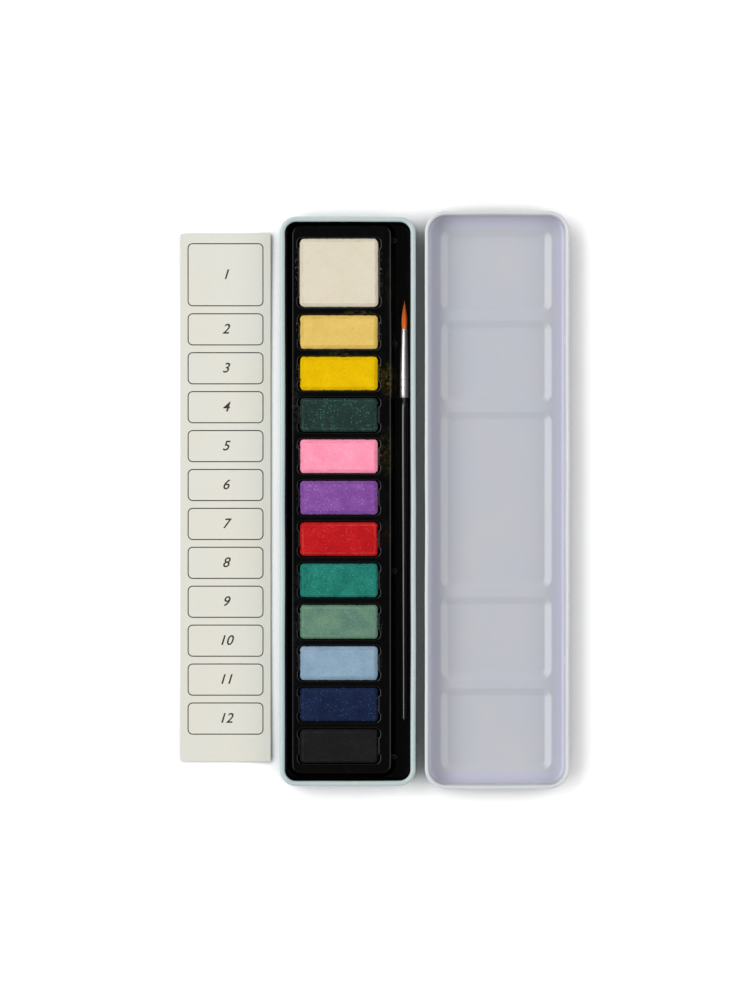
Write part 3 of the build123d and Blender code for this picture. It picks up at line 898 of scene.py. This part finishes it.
TAB_DEPTH = 0.7 * MM
TAB_EASE = 0.8 * MM
SINGLE_TAB = 0.51
DOUBLE_TAB = 0.7
DOUBLE = 10 * MM
NUB_RADIUS = 1.2 * MM
NUB_REACH = 0.7 * MM
NUB_ROUND = 0.7 * MM
NUB_TOP = TRAY_FLOOR + 4.5 * MM
NUB_PLACES = [place * MM for place in (101.0, 61.0, -27.0, -99.0)]
NUB_STEPS = 24
print("the deck is", round(DECK_TOP / MM, 2), "mm high and the tray's top", round(TRAY_TOP / MM, 2), "mm")


# %% Formed tray
def socket_outline(node, offset):
    """The pocket round a cake, whose two ends step in to a tab."""
    low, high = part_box(node)
    half_width = (high.x - low.x) / 2 + SOCKET_END_GAP + offset
    half_length = (high.y - low.y) / 2 + SOCKET_SIDE_GAP + offset
    tab = half_length * (DOUBLE_TAB if half_length > DOUBLE else SINGLE_TAB) - offset * 1.5
    middle = (low.xy + high.xy) / 2
    points = outline(half_width, half_length, SOCKET_CORNER + offset, *SOCKET_STEPS)
    for point in points:
        share = eased_share(within((tab + TAB_EASE / 2 - abs(point.y)) / TAB_EASE))
        if abs(point.x) > half_width - TAB_DEPTH * 1.01:
            point.x -= math.copysign(TAB_DEPTH * share, point.x)
    return [point + middle for point in points]


def formed_tray():
    bm = bmesh.new()

    def tub(offset):
        inset = offset - TUB_INSET
        return outline(TIN_HALF_WIDTH + inset, TIN_HALF_LENGTH + inset, TIN_CORNER + inset, *TIN_STEPS)

    def deck(offset):
        return outline(DECK_HALF_WIDTH + offset, DECK_HALF_LENGTH + offset, DECK_CORNER + offset, *TIN_STEPS,
                       middle=DECK_MIDDLE)

    wall = eased((0, TRAY_TOP, 0), (0, TRAY_FLOOR, 0.06 * MM), (-0.08 * MM, TRAY_FLOOR, 0))
    _, floor_edge = sweep(bm, tub, wall)
    flank = eased((-1.0 * MM, DECK_TOP, 0), (-0.05 * MM, DECK_TOP, DECK_BEND),
                  (DECK_SLOPE, TRAY_FLOOR, 0.04 * MM), (DECK_SLOPE + 0.06 * MM, TRAY_FLOOR, 0))
    deck_edge, deck_foot = sweep(bm, deck, flank)
    fill_level(bm, floor_edge, deck_foot)
    pocket = eased((0.62 * MM, DECK_TOP, 0), (0, DECK_TOP, SOCKET_BEND), (0, SOCKET_FLOOR, 0.4 * MM),
                   (-0.5 * MM, SOCKET_FLOOR, 0))
    lips = []
    for node in PAINTS:
        lip, socket_floor = sweep(bm, lambda offset, node=node: socket_outline(node, offset), pocket)
        lips.append(lip)
        fill_level(bm, socket_floor)
    fill_level(bm, deck_edge, *lips)
    face_up(bm)
    return finished(bm, "formed_tray", black_tray, of_sheet(TRAY_SHEET))


def moulded_pips():
    """The pips moulded on the side of the deck: short posts with round tops."""
    bm = bmesh.new()
    profile = eased((0, TRAY_FLOOR, 0), (0, NUB_TOP, NUB_ROUND), (0.05 * MM - NUB_RADIUS, NUB_TOP, 0))
    for place in NUB_PLACES:
        middle = Vector((DECK_MIDDLE.x + DECK_HALF_WIDTH + DECK_SLOPE + NUB_REACH - NUB_RADIUS, place))

        def post(offset, middle=middle):
            return [middle + point for point in circle(NUB_RADIUS + offset, NUB_STEPS)]

        for end in sweep(bm, post, profile):
            bm.faces.new(end)
    bmesh.ops.recalc_face_normals(bm, faces=bm.faces)
    return finished(bm, "tray_pips", black_tray)


dress(formed_tray(), "tin", "tray_polystyrene", "insert_tray")
dress(moulded_pips(), "tin", "tray_polystyrene", "insert_tray")

# %% [markdown]
# ## The cakes
# Each cake is powder and gum pressed in a die, with a sloping shoulder. A pressed edge crumbles, so the
# mesh is a fine grid, mapped onto the rounded block, whose edge is nibbled by noise.

# %% A grid on a rounded block
CELL = 0.3 * MM
CAKE_BEVEL = 1.1 * MM
CAKE_RISE = 0.8 * MM
CAKE_CORNER = 1.4 * MM
DOUBLE_CORNER = 2.0 * MM
CRUMBLE = 0.13 * MM
NIBBLE_REACH = 0.6 * MM
ROUGH_SIZE = 1.1 * MM
ROUGH_HEIGHT = 0.022 * MM
COARSE_SIZE = 4.5 * MM
COARSE_HEIGHT = 0.05 * MM
SIDE_LEVELS = (0.35, 0.0)


def rounded_place(across, along, half_width, half_length, corner):
    """Moves a point of a rectangle onto the same rectangle with round corners."""
    past_x = abs(across) - (half_width - corner)
    past_y = abs(along) - (half_length - corner)
    if past_x <= 0 or past_y <= 0:
        return across, along
    u, v = past_x / corner, past_y / corner
    round_x = u * math.sqrt(1 - v * v / 2) * corner
    round_y = v * math.sqrt(1 - u * u / 2) * corner
    return (math.copysign(half_width - corner + round_x, across),
            math.copysign(half_length - corner + round_y, along))


def edge_distance(across, along, half_width, half_length, corner):
    """How far inside the rounded rectangle a point is."""
    past_x = abs(across) - (half_width - corner)
    past_y = abs(along) - (half_length - corner)
    if past_x > 0 and past_y > 0:
        return max(0.0, corner - math.hypot(past_x, past_y))
    return max(0.0, min(half_width - abs(across), half_length - abs(along)))


# %% Pressed cakes
def cake_point(across, along, inside, seed):
    """How far a point of a cake lies below its full height, and how much its edge is nibbled there."""
    rough = noise.fractal(Vector((across, along, seed * MM * 9)) / ROUGH_SIZE, 0.7, 2.1, 4)
    coarse = noise.noise(Vector((across, along, seed * MM * 5)) / COARSE_SIZE)
    nibble = max(0.0, 1 - inside / NIBBLE_REACH) * max(0.0, rough + 0.3 * coarse)
    shoulder = CAKE_RISE * (1 - min(1.0, inside / CAKE_BEVEL))
    return shoulder + nibble * CRUMBLE * 2 - rough * ROUGH_HEIGHT - coarse * COARSE_HEIGHT, nibble


def pressed_cake(node, seed):
    low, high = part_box(node)
    half_width, half_length = (high.x - low.x) / 2, (high.y - low.y) / 2
    shape = (half_width, half_length, DOUBLE_CORNER if half_length > DOUBLE else CAKE_CORNER)
    middle = (low.xy + high.xy) / 2
    columns = round(2 * half_width / CELL)
    rows = round(2 * half_length / CELL)
    bm = bmesh.new()
    edge = bm.verts.layers.float.new(EDGE)
    grid = []
    for row in range(rows + 1):
        line = []
        for column in range(columns + 1):
            across, along = rounded_place((2 * column / columns - 1) * half_width,
                                          (2 * row / rows - 1) * half_length, *shape)
            inside = edge_distance(across, along, *shape)
            below, nibble = cake_point(across, along, inside, seed)
            pull = 1 - nibble * CRUMBLE / half_length
            vert = bm.verts.new((middle.x + across * pull, middle.y + along * pull, high.z - below))
            vert[edge] = inside
            line.append(vert)
        grid.append(line)
    join_rows(bm, grid)
    rim = grid[0] + [line[-1] for line in grid[1:]] + grid[-1][-2::-1] + [line[0] for line in grid[-2:0:-1]]
    above = rim
    for share in SIDE_LEVELS:
        height = low.z + (high.z - low.z) * share
        ring = [bm.verts.new((vert.co.x, vert.co.y, height)) for vert in rim]
        join_rings(bm, [ring, above])
        above = ring
    bm.faces.new(list(reversed(above)))
    return finished(bm, node + "_pressed", paints[node])


for number, node in enumerate(PAINTS):
    dress(pressed_cake(node, number + 1), "tin", node[5:] + "_paint", node)

# %% [markdown]
# ## Crumbs
# Loose grains of paint lie on the deck beside each cake. They are hundreds of tiny lumps that follow a
# surface, so Geometry Nodes scatter them: points on a strip of deck, a small rock on each, turned and sized
# at random from a fixed seed. Realize Instances makes them plain mesh, which the export needs.

# %% A tree of nodes with named inputs
def node_group(name, **inputs):
    """An empty Geometry Nodes tree with these inputs, and its input and output nodes."""
    tree = bpy.data.node_groups.new(name, "GeometryNodeTree")
    tree.interface.new_socket("Geometry", in_out="INPUT", socket_type="NodeSocketGeometry")
    kinds = {float: "NodeSocketFloat", int: "NodeSocketInt", bpy.types.Material: "NodeSocketMaterial"}
    for key, value in inputs.items():
        named = key.replace("_", " ")
        socket = tree.interface.new_socket(named, in_out="INPUT", socket_type=kinds[type(value)])
        if not isinstance(value, bpy.types.Material):
            socket.default_value = value
    tree.interface.new_socket("Geometry", in_out="OUTPUT", socket_type="NodeSocketGeometry")
    return tree, add_node(tree, "NodeGroupInput").outputs, add_node(tree, "NodeGroupOutput")


def run_group(piece, tree, **values):
    """Puts the tree on the piece with these inputs and leaves a plain mesh."""
    modifier = piece.modifiers.new(tree.name, "NODES")
    modifier.node_group = tree
    for item in tree.interface.items_tree:
        key = item.name.replace(" ", "_")
        if item.in_out == "INPUT" and key in values:
            modifier[item.identifier] = values[key]
    return plain(piece)


# %% Scattered crumbs
LANDING_GAP = 0.6 * MM
LANDING_WIDTH = 1.0 * MM
LANDING_SHARE = 0.62
CRUMBS_PER_AREA = 1.4 / MM ** 2
CRUMB_FACES = 20


def crumb_group():
    tree, given, result = node_group("paint_crumbs", Density=0.0, Smallest=0.0, Largest=0.0, Seed=0,
                                     Paint=board)
    points = add_node(tree, "GeometryNodeDistributePointsOnFaces", Mesh=given["Geometry"],
                      Density=given["Density"], Seed=given["Seed"])
    lump = add_node(tree, "GeometryNodeMeshIcoSphere", Radius=1.0, Subdivisions=1)
    size = add_node(tree, "FunctionNodeRandomValue", Min=given["Smallest"], Max=given["Largest"],
                    Seed=given["Seed"], data_type="FLOAT")
    turn = add_node(tree, "FunctionNodeRandomValue", Max=(math.tau, math.tau, math.tau), Seed=given["Seed"],
                    data_type="FLOAT_VECTOR")
    placed = add_node(tree, "GeometryNodeInstanceOnPoints", Points=points, Instance=lump, Rotation=turn,
                      Scale=size)
    solid = add_node(tree, "GeometryNodeRealizeInstances", placed)
    coloured = add_node(tree, "GeometryNodeSetMaterial", Geometry=solid, Material=given["Paint"])
    fill_sockets(tree, result, coloured)
    return tree


def landings(node):
    """The corners of the strips of deck along the tabs left and right of a cake."""
    low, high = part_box(node)
    middle, half_length = (low.y + high.y) / 2, (high.y - low.y) / 2 * LANDING_SHARE
    near, far = middle - half_length, middle + half_length
    strips = ((low.x - LANDING_GAP - LANDING_WIDTH, low.x - LANDING_GAP),
              (high.x + LANDING_GAP, high.x + LANDING_GAP + LANDING_WIDTH))
    return [((left, near), (right, near), (right, far), (left, far)) for left, right in strips]


crumb_tree = crumb_group()
crumbs = 0
for number, node in enumerate(PAINTS):
    bm = bmesh.new()
    for strip in landings(node):
        bm.faces.new([bm.verts.new((*corner, DECK_TOP)) for corner in strip])
    scattered = new_piece("crumbs_of_" + node[5:], bpy.data.meshes.new("crumbs"))
    bm.to_mesh(scattered.data)
    bm.free()
    run_group(scattered, crumb_tree, Density=CRUMBS_PER_AREA, Smallest=0.03 * MM, Largest=0.1 * MM,
              Seed=number, Paint=paints[node])
    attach(scattered, "tin")
    crumbs += len(scattered.data.polygons) // CRUMB_FACES
print("crumbs", crumbs)

# %% [markdown]
# ## The brush
# The handle and ferrule are turned shapes: one profile spun about the brush's axis. The tuft is hundreds
# of hairs that start together in the ferrule, belly out a little and close to a point, which Geometry
# Nodes draw as curves, one hair on each of many points in the ferrule's mouth.

# %% Turning
ferrule_low, ferrule_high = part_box("brush_ferrule")
handle_low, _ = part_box("brush_handle")
_, tuft_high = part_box("brush_tuft")
BRUSH_X = (ferrule_low.x + ferrule_high.x) / 2
BRUSH_Z = (ferrule_low.z + ferrule_high.z) / 2
MOUTH_Y = ferrule_high.y
COLLAR_Y = ferrule_low.y
BUTT_Y = handle_low.y
TURN_STEPS = 48


def turned(name, material, profile):
    """Spins a profile of (place along Y, radius) about the brush's axis."""
    bm = bmesh.new()
    rings = [[bm.verts.new((BRUSH_X + point.x, along, BRUSH_Z + point.y))
              for point in circle(radius, TURN_STEPS)] for along, radius in profile]
    join_rings(bm, rings)
    bm.faces.new(rings[0])
    bm.faces.new(rings[-1])
    bmesh.ops.recalc_face_normals(bm, faces=bm.faces)
    return finished(bm, name, material)


# %% Turned handle
HANDLE_STATIONS = [(place * MM, diameter / 2 * MM) for place, diameter in (
    (0, 3.2), (5, 3.42), (12.7, 3.5), (24, 3.38), (60, 2.75), (124.2, 2.0))]
STATION_STEP = 4 * MM
BUTT_BEARINGS = (0.3, 0.6, 0.9, 1.2, 1.45)
BUTT_END = 0.05


def smooth_profile(stations):
    """Radii between stations of (place, radius), eased so that the swell has no corners."""
    profile = []
    for (start, first), (end, second) in zip(stations, stations[1:]):
        steps = max(1, round(abs(end - start) / STATION_STEP))
        for step in range(steps):
            share = step / steps
            blend = (eased_share(share) + share) / 2
            profile.append((start + (end - start) * share, first + (second - first) * blend))
    profile.append(stations[-1])
    return profile


handle_profile = [(COLLAR_Y - place, radius) for place, radius in smooth_profile(HANDLE_STATIONS)]
butt_start, butt_radius = handle_profile[-1]
butt_length = butt_start - BUTT_Y
handle_profile += [(butt_start - butt_length * math.sin(bearing), butt_radius * math.cos(bearing))
                   for bearing in BUTT_BEARINGS]
handle_profile += [(BUTT_Y, butt_radius * BUTT_END)]
dress(turned("lacquered_handle", black_wood, handle_profile), "brush", "handle_lacquer", "brush_handle")

# %% Turned ferrule with two crimps
MOUTH_RADIUS = 1.15 * MM
BARREL_RADIUS = 1.72 * MM
FERRULE_WALL = 0.15 * MM
FERRULE_INSIDE = 6 * MM
TAPER_LENGTH = 18.4 * MM
CRIMPS = (19.9 * MM, 22.75 * MM)
CRIMP_WIDTH = 0.9 * MM
CRIMP_DEPTH = 0.12 * MM
CRIMP_STEPS = 6
LIP = 0.07 * MM

tube = [(MOUTH_Y - FERRULE_INSIDE, MOUTH_RADIUS - FERRULE_WALL), (MOUTH_Y - LIP, MOUTH_RADIUS - FERRULE_WALL),
        (MOUTH_Y, MOUTH_RADIUS - FERRULE_WALL / 2), (MOUTH_Y - LIP, MOUTH_RADIUS)]
tube += [(MOUTH_Y - TAPER_LENGTH * share, MOUTH_RADIUS + (BARREL_RADIUS - MOUTH_RADIUS) * share)
         for share in (0.25, 0.5, 0.75, 1.0)]
for crimp in CRIMPS:
    for step in range(-CRIMP_STEPS, CRIMP_STEPS + 1):
        share = step / CRIMP_STEPS
        depth = CRIMP_DEPTH * (0.5 + 0.5 * math.cos(math.pi * share)) ** 1.2
        tube.append((MOUTH_Y - crimp - CRIMP_WIDTH / 2 * share, BARREL_RADIUS - depth))
tube += [(COLLAR_Y + LIP, BARREL_RADIUS), (COLLAR_Y, BARREL_RADIUS - LIP)]
dress(turned("nickel_ferrule", nickel, tube), "brush", "ferrule_nickel", "brush_ferrule")

# %% [markdown]
# ## The tuft
# A hair starts as a straight line on a point of the ferrule's mouth. Where it goes from there is a chain of
# small sums on its root's place, a random number of its own and how far along it a point is. The outer
# hairs are shorter, the bundle bellies out and then closes to a point, and each hair thins to its tip.

# %% The sums that shape a hair
TUFT_LENGTH = tuft_high.y - MOUTH_Y
HAIR_STEPS = 10
HAIR_SIDES = 4
MOUTH_SIDES = 24

# Each row is the name of a result, the operation, and the names or numbers that it works on
HAIR_SUMS = (
    ("square", "MULTIPLY", "Mouth Radius", "Mouth Radius"),
    ("mouth area", "MULTIPLY", "square", math.pi),
    ("density", "DIVIDE", "Hairs", "mouth area"),
    ("share out", "DIVIDE", "out", "Mouth Radius"),
    ("outer", "POWER", "share out", 1.6),
    ("most", "SUBTRACT", "Length", "Shortest"),
    ("luck", "MULTIPLY_ADD", "chance", 0.8, 0.35),
    ("loss", "MULTIPLY", "most", "luck"),
    ("shorter", "MULTIPLY", "outer", "loss"),
    ("hair length", "SUBTRACT", "Length", "shorter"),
    ("whole length", "ADD", "hair length", "Root"),
    ("sunk", "MULTIPLY", "Root", -1.0),
    ("reach", "MULTIPLY_ADD", "along", "whole length", "sunk"),
    ("reach share", "DIVIDE", "reach", "Length"),
    ("outside", "MAXIMUM", "reach share", 0.0),
    ("still to go", "SUBTRACT", 1.0, "outside"),
    ("bulge", "MULTIPLY", "outside", "still to go"),
    ("swell", "MULTIPLY", "bulge", "Belly"),
    ("girth", "ADD", "swell", 1.0),
    ("closed", "POWER", "outside", 2.1),
    ("open", "SUBTRACT", 1.0, "closed"),
    ("spread", "MULTIPLY", "girth", "open"),
    ("width", "MAXIMUM", "spread", 0.02),
    ("x", "MULTIPLY", "root x", "width"),
    ("z", "MULTIPLY", "root y", "width"),
    ("worn", "POWER", "along", 2.0),
    ("thinner", "MULTIPLY_ADD", "worn", -0.72, 1.0),
    ("hair radius", "MULTIPLY", "Hair Radius", "thinner"),
)
print("sums for a hair", len(HAIR_SUMS))


# %% Hair as curves on points
def hair_group():
    tree, given, result = node_group("round_tuft", Mouth_Radius=0.0, Length=0.0, Root=0.0, Shortest=0.0,
                                     Belly=0.0, Hairs=0, Hair_Radius=0.0, Steps=0, Seed=0, Hair=filament)
    root = add_node(tree, "GeometryNodeInputNamedAttribute", Name="root", data_type="FLOAT_VECTOR")
    root_place = add_node(tree, "ShaderNodeSeparateXYZ", root).outputs
    known = {output.name: output for output in given if output.name}
    known.update({
        "root x": root_place["X"], "root y": root_place["Y"],
        "out": add_node(tree, "ShaderNodeVectorMath", root, operation="LENGTH"),
        "chance": add_node(tree, "GeometryNodeInputNamedAttribute", Name="chance", data_type="FLOAT"),
        "along": add_node(tree, "GeometryNodeSplineParameter").outputs["Factor"]})
    for name, operation, *parts in HAIR_SUMS:
        known[name] = add_node(tree, "ShaderNodeMath", *[known.get(part, part) for part in parts],
                               operation=operation)

    mouth = add_node(tree, "GeometryNodeMeshCircle", Vertices=MOUTH_SIDES, Radius=known["Mouth Radius"],
                     fill_type="NGON")
    roots = add_node(tree, "GeometryNodeDistributePointsOnFaces", Mesh=mouth, Density=known["density"],
                     Seed=known["Seed"])
    start = add_node(tree, "GeometryNodeInputPosition")
    marked = add_node(tree, "GeometryNodeStoreNamedAttribute", Geometry=roots, Name="root", Value=start,
                      data_type="FLOAT_VECTOR", domain="POINT")
    lot = add_node(tree, "FunctionNodeRandomValue", Seed=known["Seed"], data_type="FLOAT")
    drawn = add_node(tree, "GeometryNodeStoreNamedAttribute", Geometry=marked, Name="chance", Value=lot,
                     data_type="FLOAT", domain="POINT")
    straight = add_node(tree, "GeometryNodeCurvePrimitiveLine", End=(0, 0, 1))
    bendable = add_node(tree, "GeometryNodeResampleCurve", Curve=straight, Count=known["Steps"])
    hairs = add_node(tree, "GeometryNodeInstanceOnPoints", Points=drawn, Instance=bendable)
    curves = add_node(tree, "GeometryNodeRealizeInstances", hairs)
    place = add_node(tree, "ShaderNodeCombineXYZ", known["x"], known["reach"], known["z"])
    bent = add_node(tree, "GeometryNodeSetPosition", Geometry=curves, Position=place)
    tapered = add_node(tree, "GeometryNodeSetCurveRadius", Curve=bent, Radius=known["hair radius"])
    section = add_node(tree, "GeometryNodeCurvePrimitiveCircle", Resolution=HAIR_SIDES, Radius=1.0)
    solid = add_node(tree, "GeometryNodeCurveToMesh", Curve=tapered, Profile_Curve=section, Fill_Caps=True,
                     Scale=known["hair radius"])
    smooth = add_node(tree, "GeometryNodeSetShadeSmooth", Geometry=solid)
    coloured = add_node(tree, "GeometryNodeSetMaterial", Geometry=smooth, Material=known["Hair"])
    fill_sockets(tree, result, coloured)
    return tree


tuft = new_piece("filament_tuft", bpy.data.meshes.new("tuft"))
run_group(tuft, hair_group(), Mouth_Radius=MOUTH_RADIUS - FERRULE_WALL - 0.04 * MM, Length=TUFT_LENGTH,
          Root=1.3 * MM, Shortest=5.2 * MM, Belly=0.75, Hairs=900, Hair_Radius=0.06 * MM,
          Steps=HAIR_STEPS, Seed=7, Hair=filament)
for vert in tuft.data.vertices:
    vert.co += Vector((BRUSH_X, MOUTH_Y, BRUSH_Z))
dress(tuft, "brush", "tuft_filament", "brush_tuft")

# %% [markdown]
# ## The colour card
# A strip of board, cut square, with one frame for each paint and a plain number in it. The frames repeat,
# so Geometry Nodes make them: a rounded rectangle, swept with a flat strip of ink, on a line of points. A
# card left on a table cups a little, so that its edges throw a soft shadow.

# %% Board
card_low, card_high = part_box("colour_card")
CARD_MIDDLE = (card_low.xy + card_high.xy) / 2
CARD_THICKNESS = card_high.z - card_low.z
CARD_CUP = 1.1 * MM
CARD_STEPS = (14, 60)
EDGE_HOLD = 0.1 * MM
CUT_ROUND = 0.05 * MM


def card_height(x, y):
    """How far the card stands off the table at a point: it cups along and across."""
    across = (x - CARD_MIDDLE.x) / (card_high.x - card_low.x) * 2
    along = (y - CARD_MIDDLE.y) / (card_high.y - card_low.y) * 2
    return CARD_CUP * (0.3 * across * across + 0.7 * along ** 4)


def held_steps(low, high, count):
    """Even places from low to high, and one more close to each end, so that the cut edge shades crisply."""
    inner = [low + (high - low) * step / count for step in range(1, count)]
    return [low, low + EDGE_HOLD, *inner, high - EDGE_HOLD, high]


def cupped_card():
    bm = bmesh.new()
    columns, rows = CARD_STEPS
    places = held_steps(card_low.x, card_high.x, columns)
    join_rows(bm, [[bm.verts.new((x, y, card_height(x, y) + CARD_THICKNESS)) for x in places]
                   for y in held_steps(card_low.y, card_high.y, rows)])
    thick = ("SOLIDIFY", {"thickness": CARD_THICKNESS, "offset": -1.0})
    cut = ("BEVEL", {"width": CUT_ROUND, "segments": 2, "limit_method": "ANGLE", "harden_normals": True})
    return finished(bm, "cut_card", board, thick, cut)


dress(cupped_card(), "card", "card_board", "colour_card")


# %% Printed frames
def frame_group():
    tree, given, result = node_group("printed_frames", Width=0.0, Height=0.0, Corner=0.0, Line=0.0, Film=0.0,
                                     Count=0, Pitch=0.0, Ink=ink)
    box = add_node(tree, "GeometryNodeCurvePrimitiveQuadrilateral", Width=given["Width"],
                   Height=given["Height"])
    rounded = add_node(tree, "GeometryNodeFilletCurve", Curve=box, Radius=given["Corner"], Count=8,
                       Limit_Radius=True, mode="POLY")
    fine = add_node(tree, "GeometryNodeSubdivideCurve", Curve=rounded, Cuts=3)
    strip = add_node(tree, "GeometryNodeCurvePrimitiveQuadrilateral", Width=given["Line"],
                     Height=given["Film"])
    printed = add_node(tree, "GeometryNodeCurveToMesh", Curve=fine, Profile_Curve=strip)
    down = add_node(tree, "ShaderNodeMath", given["Pitch"], -1.0, operation="MULTIPLY")
    places = add_node(tree, "GeometryNodeMeshLine", Count=given["Count"],
                      Offset=add_node(tree, "ShaderNodeCombineXYZ", Y=down))
    frames = add_node(tree, "GeometryNodeInstanceOnPoints", Points=places, Instance=printed)
    solid = add_node(tree, "GeometryNodeRealizeInstances", frames)
    coloured = add_node(tree, "GeometryNodeSetMaterial", Geometry=solid, Material=given["Ink"])
    fill_sockets(tree, result, coloured)
    return tree


LINE = 0.4 * MM
FILM = 0.02 * MM
FRAME_WIDTH = 29.1 * MM
SINGLE_FRAME = 12.1 * MM
DOUBLE_FRAME = 24.1 * MM
FRAME_PITCH = 15.13 * MM
FRAME_CORNER = 1.8 * MM
TOP_MARGIN = 3.8 * MM
FIRST_GAP = 3.1 * MM
FIRST_FRAME_Y = card_high.y - TOP_MARGIN - DOUBLE_FRAME / 2
SECOND_FRAME_Y = card_high.y - TOP_MARGIN - DOUBLE_FRAME - FIRST_GAP - SINGLE_FRAME / 2


def lay_on_card(piece, middle_y):
    """Moves a flat print to its place and lets it follow the card's cup."""
    for vert in piece.data.vertices:
        x, y = vert.co.x + CARD_MIDDLE.x, vert.co.y + middle_y
        vert.co = (x, y, vert.co.z + card_height(x, y) + CARD_THICKNESS)
    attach(piece, "card")
    print(piece.name, len(piece.data.polygons), "faces")


frame_tree = frame_group()
for name, middle_y, height, count in (("first_printed_frame", FIRST_FRAME_Y, DOUBLE_FRAME, 1),
                                      ("printed_frames", SECOND_FRAME_Y, SINGLE_FRAME, len(PAINTS) - 1)):
    printed = new_piece(name, bpy.data.meshes.new(name))
    run_group(printed, frame_tree, Width=FRAME_WIDTH, Height=height, Corner=FRAME_CORNER, Line=LINE,
              Film=FILM, Count=count, Pitch=FRAME_PITCH, Ink=ink)
    lay_on_card(printed, middle_y)

# %% [markdown]
# ## The card's numbers
# Text objects carry the numbers. They are turned into meshes before they are placed, and each follows the
# card's cup like the frames.

# %% Printed numbers
NUMBER_HEIGHT = 5.4 * MM
NUMBER_SLANT = 0.3
NUMBER_SWELL = 0.06 * MM


def printed_number(value, middle_y):
    letters = bpy.data.curves.new("number", "FONT")
    letters.body = str(value)
    letters.size = NUMBER_HEIGHT
    letters.shear = NUMBER_SLANT
    letters.align_x = "CENTER"
    letters.align_y = "CENTER"
    letters.extrude = FILM / 2
    letters.offset = NUMBER_SWELL
    number = new_piece(f"number_{value}", letters)
    bpy.context.view_layer.update()
    graph = bpy.context.evaluated_depsgraph_get()
    mesh = bpy.data.meshes.new_from_object(number.evaluated_get(graph), depsgraph=graph)
    mesh.materials.clear()
    mesh.materials.append(ink)
    bpy.data.objects.remove(number)
    lay_on_card(new_piece(f"printed_number_{value}", mesh), middle_y)


for place in range(len(PAINTS)):
    middle_y = FIRST_FRAME_Y if place == 0 else SECOND_FRAME_Y - (place - 1) * FRAME_PITCH
    printed_number(place + 1, middle_y)
